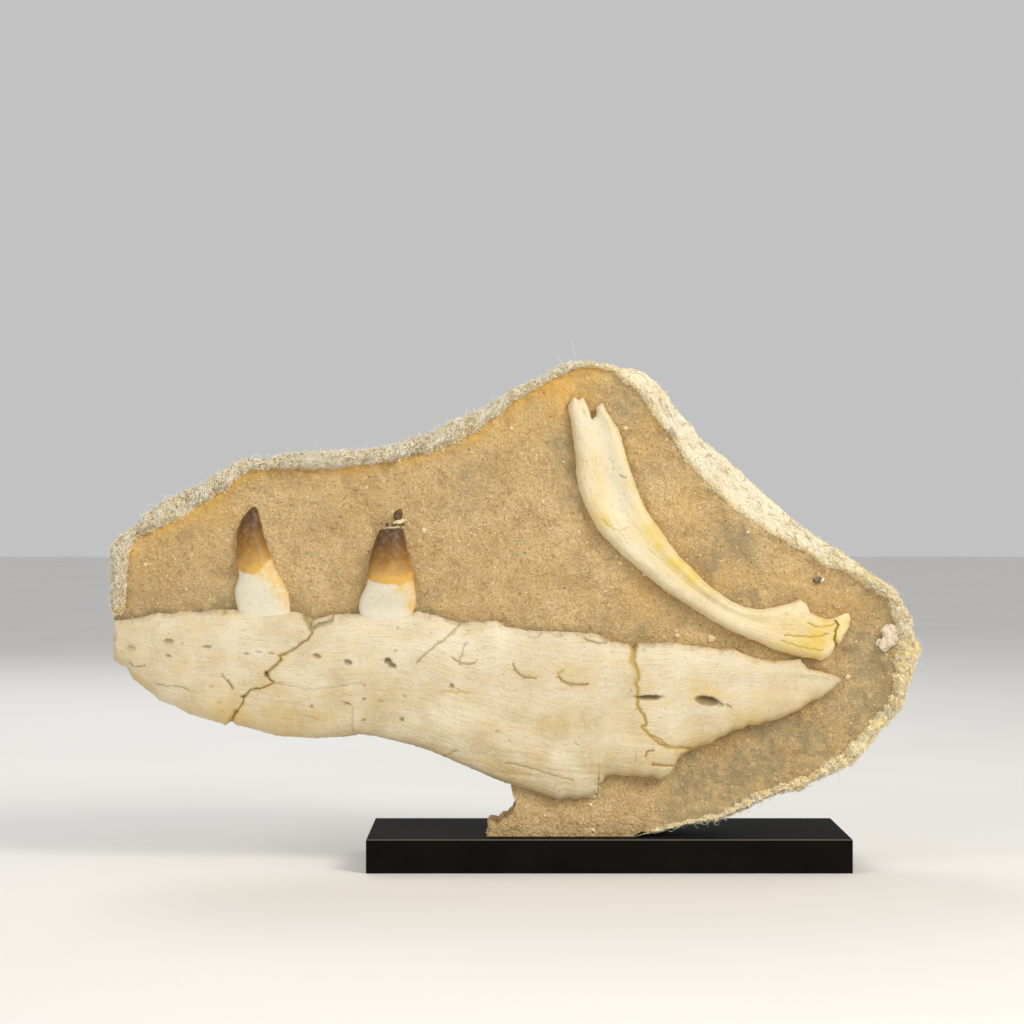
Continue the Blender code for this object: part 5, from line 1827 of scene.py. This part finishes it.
@dataclass
class Burlap:
    """Threads of the burlap: a felted mat on the rim, frayed ends along the edge, and loose hairs.

    Jute fibres are about 0.1 mm thick. These are drawn two to eight times as thick, so that they show.

    Attributes:
        edge: The jacket's edge in millimetres.
        bare: Which of its points carry no threads.
        shell: The jacket's surface.
        rim_rings: How many of the shell's rings cross the rim.
        fuzz_count: How many frayed ends there are.
        mat_count: How many threads lie on the rim.
        longest_step_mm: A thread that the cut edge would stretch further than this is left out.
    """

    edge: Array
    bare: Array
    shell: Shell
    rim_rings: int
    fuzz_count: int = 4600
    mat_count: int = 7400
    longest_step_mm: float = 4.0

    def density(self) -> Array:
        """How thick the threads are round the edge: thickest along the upper left, sparse on the plaster."""
        column, row = column_of(self.edge[:, 0]), row_of(self.edge[:, 1])
        upper = (row < 600) | (column > 860)
        weight = np.where(upper & (column < 575), 1.0, np.where(upper, 0.10, 0.28))
        weight = np.where((column > 870) & upper, 0.3, weight)
        weight = np.where(self.bare, 0.0, weight)
        return weight * (0.45 + 1.2 * np.clip(waves(column * STEP_MM, row * STEP_MM, 16, 81, 2) + 0.2, 0, 1))

    def spun(self, lines: Array, radius: Array, tone: Array, name: str) -> Object:
        """Turns many lines into thin three-sided threads.

        Args:
            lines: Points of each line.
            radius: Radius of each line, in millimetres.
            tone: Tone of each line, from 0 to 1.
            name: The piece's name.

        Returns:
            The new object.
        """
        count, joints = lines.shape[:2]
        run = np.gradient(lines, axis=1)
        run /= np.maximum(np.linalg.norm(run, axis=2), 1e-9)[..., None]
        helper = np.where(np.abs(run[..., :1]) < 0.9, [1.0, 0.0, 0.0], [0.0, 1.0, 0.0])
        first = np.cross(run, helper)
        first /= np.linalg.norm(first, axis=2)[..., None]
        second = np.cross(run, first)
        taper = np.linspace(1, 0.5, joints)[None, :, None]
        corners = [
            lines + (first * math.cos(angle) + second * math.sin(angle)) * radius[:, None, None] * taper
            for angle in (0, 2 * math.pi / 3, 4 * math.pi / 3)
        ]
        points = np.stack(corners, 2)
        base = np.arange(count * joints).reshape(count, joints)[:, :-1].ravel() * 3
        faces = []
        for side in range(3):
            after = (side + 1) % 3
            faces.append(np.stack([base + side, base + after, base + 3 + side], 1))
            faces.append(np.stack([base + after, base + 3 + after, base + 3 + side], 1))
        starts = np.arange(count) * joints * 3
        ends = starts + (joints - 1) * 3
        faces.append(np.stack([starts + 2, starts + 1, starts], 1))
        faces.append(np.stack([ends, ends + 1, ends + 2], 1))
        finish = DyedByTone(name + "_jute", "#cbb079", "#fbf0d0", "#fffef5", 0.85).material()
        marks = {"tone": np.repeat(tone, joints * 3)}
        return make_object(name, points.reshape(-1, 3), np.concatenate(faces), marks, finish, 180)

    def mat(self) -> Object:
        """Threads that lie on the rim, crossing each other like felt."""
        random = np.random.default_rng(13)
        weight = self.density()
        place = random.choice(len(self.edge), self.mat_count, p=weight / weight.sum())
        place = place + random.random(self.mat_count)
        last = self.rim_rings + 2.0
        ring = random.uniform(0.30 * self.rim_rings, last, self.mat_count)
        heading = random.normal(0.3, 0.65, self.mat_count) + math.pi * random.integers(0, 2, self.mat_count)
        step = random.uniform(0.7, 2.0, self.mat_count)
        lift = random.uniform(0.05, 0.35, self.mat_count)
        lines = [self.shell.at(ring, place, lift)]
        for _ in range(4):
            heading = heading + random.normal(0, 0.35, self.mat_count)
            ring = np.clip(ring + step * np.sin(heading) / self.shell.ring_gap(ring, place), 4, last)
            place = place + step * np.cos(heading) / self.shell.spacing_mm
            lift = lift + random.normal(0.16, 0.2, self.mat_count)
            lines.append(self.shell.at(ring, place, np.clip(lift, 0.05, 2.2)))
        radius = 0.12 + 0.28 * random.random(self.mat_count) ** 2
        right = column_of(self.edge[np.floor(place).astype(int) % len(self.edge), 0]) > 620
        tone = np.clip(random.normal(0.64, 0.38, self.mat_count) - 0.08 * right, 0, 1)
        threads = np.stack(lines, 1)
        kept = np.linalg.norm(np.diff(threads, axis=1), axis=2).max(1) < self.longest_step_mm
        return self.spun(threads[kept], radius[kept], tone[kept], "burlap_mat")

    def fuzz(self) -> Object:
        """Short curled ends that stand off the edge."""
        random = np.random.default_rng(11)
        count, joints = self.fuzz_count, 6
        weight = self.density()
        chosen = random.choice(len(self.edge), count, p=weight / weight.sum())
        out = outward(self.edge)[chosen]
        tangent = np.stack([-out[:, 1], out[:, 0]], 1)
        depth = -44 - 3.5 * random.random(count) + 16 * random.random(count) ** 2.5
        flat = self.edge[chosen] - out * random.uniform(0.2, 2.0, count)[:, None]
        start = np.stack([flat[:, 0], depth, flat[:, 1]], 1)
        lean, lift = random.normal(0, 1.0, count), random.uniform(0.1, 0.75, count)
        heading = np.stack([
            out[:, 0] * lift + tangent[:, 0] * lean,
            random.normal(-0.25, 0.5, count),
            out[:, 1] * lift + tangent[:, 1] * lean,
        ], 1)
        heading /= np.linalg.norm(heading, axis=1)[:, None]
        length = 2.0 + 4.0 * random.random(count) ** 2
        length[: count // 50] *= 1.6
        lines = [start]
        for _ in range(joints - 1):
            heading = heading + random.normal(0, 0.35, heading.shape)
            heading /= np.linalg.norm(heading, axis=1)[:, None]
            lines.append(lines[-1] + heading * (length / (joints - 1))[:, None])
        radius = random.uniform(0.09, 0.2, count)
        tone = np.clip(random.normal(0.68, 0.25, count), 0, 1)
        return self.spun(np.stack(lines, 1), radius, tone, "burlap_fuzz")

    def build(self) -> None:
        """Builds the mat, the frayed ends and the few long loose hairs."""
        hand_over(self.mat(), Piece.PLASTER, "plaster_jacket")
        hand_over(self.fuzz(), Piece.PLASTER, "plaster_jacket")
        hand_over(self.loose_threads(), Piece.PLASTER, "plaster_jacket")

    def loose_threads(self) -> Object:
        """The long hairs and loops that stand off the edge."""
        runs: tuple[Points, ...] = (
            ((577, 366), (576, 358), (573, 350), (573, 345), (571, 340), (572, 338)),
            ((566, 370), (563, 364), (558, 358), (553, 355), (556, 353), (560, 356)),
            ((565, 368), (570, 362), (577, 361), (580, 366), (577, 369), (572, 368)),
            ((317, 456), (316, 450), (315, 446), (316, 444), (318, 443), (319, 444)),
            ((252, 462), (253, 456), (258, 454), (262, 456), (262, 460), (260, 463)),
            ((838, 769), (838, 774), (840, 779), (839, 782), (838, 785), (839, 787)),
            ((760, 799), (762, 803), (760, 806), (757, 806), (756, 803), (758, 800)),
            ((715, 818), (713, 822), (716, 825), (719, 824), (718, 821), (716, 820)),
            ((897, 600), (898, 596), (900, 593), (902, 592), (903, 594), (902, 596)),
            ((150, 515), (146, 509), (148, 505), (153, 504), (156, 507), (155, 510)),
            ((165, 505), (164, 499), (168, 495), (173, 495), (176, 497), (178, 499)),
            ((205, 488), (208, 482), (213, 480), (219, 479), (222, 475), (226, 474)),
            ((465, 420), (468, 414), (474, 412), (479, 413), (483, 410), (488, 411)),
            ((545, 379), (548, 373), (553, 371), (557, 373), (560, 370), (563, 371)),
            ((668, 402), (671, 404), (674, 409), (677, 407), (676, 404), (679, 407)),
            ((706, 445), (710, 446), (714, 450), (718, 453), (716, 455), (712, 452)),
        )
        lines = []
        for index, run in enumerate(runs):
            flat = rounded_corners(on_face(run), 2, closed=False)
            flat = flat[np.linspace(0, len(flat) - 1, 16).round().astype(int)]
            depth = -46 + 1.5 * np.sin(np.linspace(0, 3, 16) + index)
            lines.append(np.stack([flat[:, 0], depth, flat[:, 1]], 1))
        radius = np.full(len(runs), 0.16)
        tone = np.linspace(0.4, 1.0, len(runs))
        return self.spun(np.array(lines), radius, tone, "loose_threads")


@dataclass(frozen=True)
class Inclusion:
    """A pebble, chip or crumb in the rock.

    Attributes:
        name: The piece's name.
        column: Its middle on the grid.
        row: Its middle on the grid.
        size_mm: Its half sizes across, out and up.
        tilt_degrees: Its turn on the face.
        colours: Its darkest, middle and palest colour.
        rough: How far its shape departs from an egg.
        raised_mm: How far its middle stands off the rock.
    """

    name: str
    column: float
    row: float
    size_mm: tuple[float, float, float]
    tilt_degrees: float
    colours: tuple[str, str, str]
    rough: float = 0.2
    raised_mm: float = 0.0

    def build(self, rock: RockFill) -> None:
        """Builds the inclusion, half sunk in the rock's face.

        Args:
            rock: The rock that carries it.
        """
        egg = bmesh.new()
        bmesh.ops.create_icosphere(egg, subdivisions=4, radius=1)
        ball = np.array([tuple(vert.co) for vert in egg.verts])
        faces = np.array([[vert.index for vert in face.verts] for face in egg.faces])
        egg.free()
        seed = int(self.column)
        uneven = waves(ball[:, 0] + 5 + ball[:, 1], ball[:, 2] + ball[:, 1], 0.8, seed, 3)
        local = ball * (1 + self.rough * uneven)[:, None] * np.array(self.size_mm)
        turn = math.radians(self.tilt_degrees)
        x = local[:, 0] * math.cos(turn) - local[:, 2] * math.sin(turn)
        z = local[:, 0] * math.sin(turn) + local[:, 2] * math.cos(turn)
        middle = on_face([(self.column, self.row)])[0]
        out = float(rock.height(middle[:1], middle[1:])[0]) + self.raised_mm
        points = np.stack([x + middle[0], local[:, 1] + FACE_Y_MM - out, z + middle[1]], 1)
        tone = np.clip(0.5 + 0.4 * waves(x * 2, z * 2, 2.0, 92, 2), 0, 1)
        finish = DyedByTone(self.name + "_stone", *self.colours, 0.6)
        made = make_object(self.name, points, faces, {"tone": tone}, finish.material(), 50)
        hand_over(made, Piece.ROCK, "matrix")


DARK_STONE = ("#4d463d", "#6f6659", "#a89c86")
ENAMEL_CRUMB = ("#3c2a22", "#5a4234", "#8a6e5a")
PALE_GLUE = ("#d5c193", "#e8d8b2", "#f3e9cf")
WHITE_CHIP = ("#d9cdb4", "#ece3cf", "#f7f1e4")
PINK_CHIP = ("#8d7863", "#e0cfb8", "#f3e9da")
PALE_STONE = ("#cfb684", "#e0ca9c", "#f0e1bf")

INCLUSIONS: tuple[Inclusion, ...] = (
    Inclusion("dark_pebble", 817, 580, (2.4, 1.6, 1.7), 25, DARK_STONE, 0.3, 0.4),
    Inclusion("pebble_chip", 822, 579.5, (0.8, 0.9, 1.6), -35, WHITE_CHIP, 0.2, 1.0),
    Inclusion("pink_chip", 890, 633, (5.0, 1.6, 6.8), -25, PINK_CHIP, 0.7, 1.6),
    Inclusion("pink_chip_low", 883, 643, (3.6, 1.3, 3.4), 20, PINK_CHIP, 0.7, 0.8),
    Inclusion("pale_chip", 848, 677, (1.6, 1.0, 1.3), 10, PALE_STONE, 0.3, 0.4),
    Inclusion("pale_bump", 712, 638, (2.6, 1.5, 1.9), 15, PALE_STONE, 0.3, 0.8),
    Inclusion("pale_nodule", 620, 563, (1.5, 1.0, 1.3), 30, PALE_STONE, 0.3, 0.5),
    Inclusion("small_pebble", 626, 428, (1.6, 0.9, 1.1), 30, PALE_STONE, 0.3, 0.3),
    Inclusion("glue_strip", 394, 527.5, (4.2, 0.8, 0.8), 4, PALE_GLUE, 0.4, 1.0),
    Inclusion("glue_drop", 400, 522, (3.0, 0.8, 1.1), 12, PALE_GLUE, 0.5, 0.8),
    Inclusion("enamel_crumb_left", 387.5, 524.5, (0.9, 0.8, 0.9), 0, ENAMEL_CRUMB, 0.4, 1.2),
    Inclusion("enamel_crumb_middle", 393.5, 525.3, (1.5, 0.8, 0.5), 0, ENAMEL_CRUMB, 0.4, 1.6),
    Inclusion("enamel_crumb_right", 403.5, 524, (0.9, 0.8, 0.5), 10, ENAMEL_CRUMB, 0.4, 1.4),
    Inclusion("bone_crumb", 424, 530, (1.4, 0.7, 1.8), 10, PALE_STONE, 0.4, 0.2),
    Inclusion("rim_chip", 672, 432, (1.4, 0.9, 2.4), 30, ("#8f7d84", "#b3a1a0", "#d8c9b8"), 0.5, 2.6),
)


@dataclass
class Studio:
    """Plain pale floor, soft lights, and the camera at the photo's angle."""

    floor: str = "#ecebe8"
    air: str = "#e6e6e6"
    air_strength: float = 0.68
    lens_mm: float = 98.0
    eye_mm: tuple[float, float, float] = (-2.8, -1771.0, 222.0)

    def lamp(
        self, name: str, place: Sequence[float], aim: Sequence[float], size: float, watts: float, tint: str
    ) -> None:
        """Adds a square soft lamp.

        Args:
            name: Its name.
            place: Where it stands, in metres.
            aim: The point that it faces.
            size: Its side in metres.
            watts: Its power.
            tint: Its colour.
        """
        light = bpy.data.lights.new(name, "AREA")
        light.shape, light.size, light.energy = "SQUARE", size, watts
        light.color = linear(tint)[:3]
        stand = set_in_scene(name, light)
        stand.location = place
        stand.rotation_euler = (Vector(aim) - Vector(place)).to_track_quat("-Z", "Y").to_euler()

    def build(self) -> None:
        """Builds floor, lights and camera."""
        mesh = bpy.data.meshes.new("studio_floor")
        mesh.from_pydata([(-9, -9, 0), (9, -9, 0), (9, 12, 0), (-9, 12, 0)], [], [(0, 1, 2, 3)])
        floor = set_in_scene("studio_floor", mesh)
        paper = Surface("pale_studio_paper")
        layers = ((paper.patched(Patches(400.0, 0.4, 0.6, 0.3)), "#e4e3df"),)
        mesh.materials.append(paper.finish(paper.painted(self.floor, layers), 0.8))
        world = bpy.data.worlds.new("studio_air")
        world.use_nodes = True
        world.node_tree.nodes["Background"].inputs["Color"].default_value = linear(self.air)
        world.node_tree.nodes["Background"].inputs["Strength"].default_value = self.air_strength
        bpy.context.scene.world = world
        aim = (0.0, -0.04, 0.18)
        self.lamp("key_lamp", (1.15, -1.3, 1.3), aim, 0.7, 24.5, "#fff7ea")
        self.lamp("fill_lamp", (-1.2, -1.3, 1.4), aim, 0.9, 8.0, "#fbf8f2")
        self.lamp("back_lamp", (-0.6, 1.6, 1.6), aim, 1.0, 12.0, "#ffffff")
        camera = bpy.data.cameras.new("camera")
        camera.lens, camera.sensor_width = self.lens_mm, 36.0
        eye = set_in_scene("camera", camera)
        eye.location = [value * 0.001 for value in self.eye_mm]
        eye.rotation_euler = (math.pi / 2, 0, 0)
        bpy.context.scene.camera = eye
        bpy.context.scene.view_settings.view_transform = "Standard"


class DisplayBase:
    """The black base, which keeps its CAD shape."""

    def build(self) -> None:
        """Gives the base its lacquer."""
        lacquer = SatinLacquer().material()
        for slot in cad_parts["display_base"].material_slots:
            slot.material = lacquer
        log.info("display_base: lacquered")


def main() -> None:
    """Builds every piece in order."""
    logging.basicConfig(level=logging.INFO, format="%(name)s %(message)s")
    Studio().build()
    DisplayBase().build()
    rock = RockFill()
    rock.build()
    JawBone().build()
    CurvedBone().build()
    enamel = ToothEnamel().material()
    for tooth in TEETH:
        tooth.build(enamel)
    FieldJacket(rock).build()
    for inclusion in INCLUSIONS:
        inclusion.build(rock)


if __name__ == "__main__":
    main()
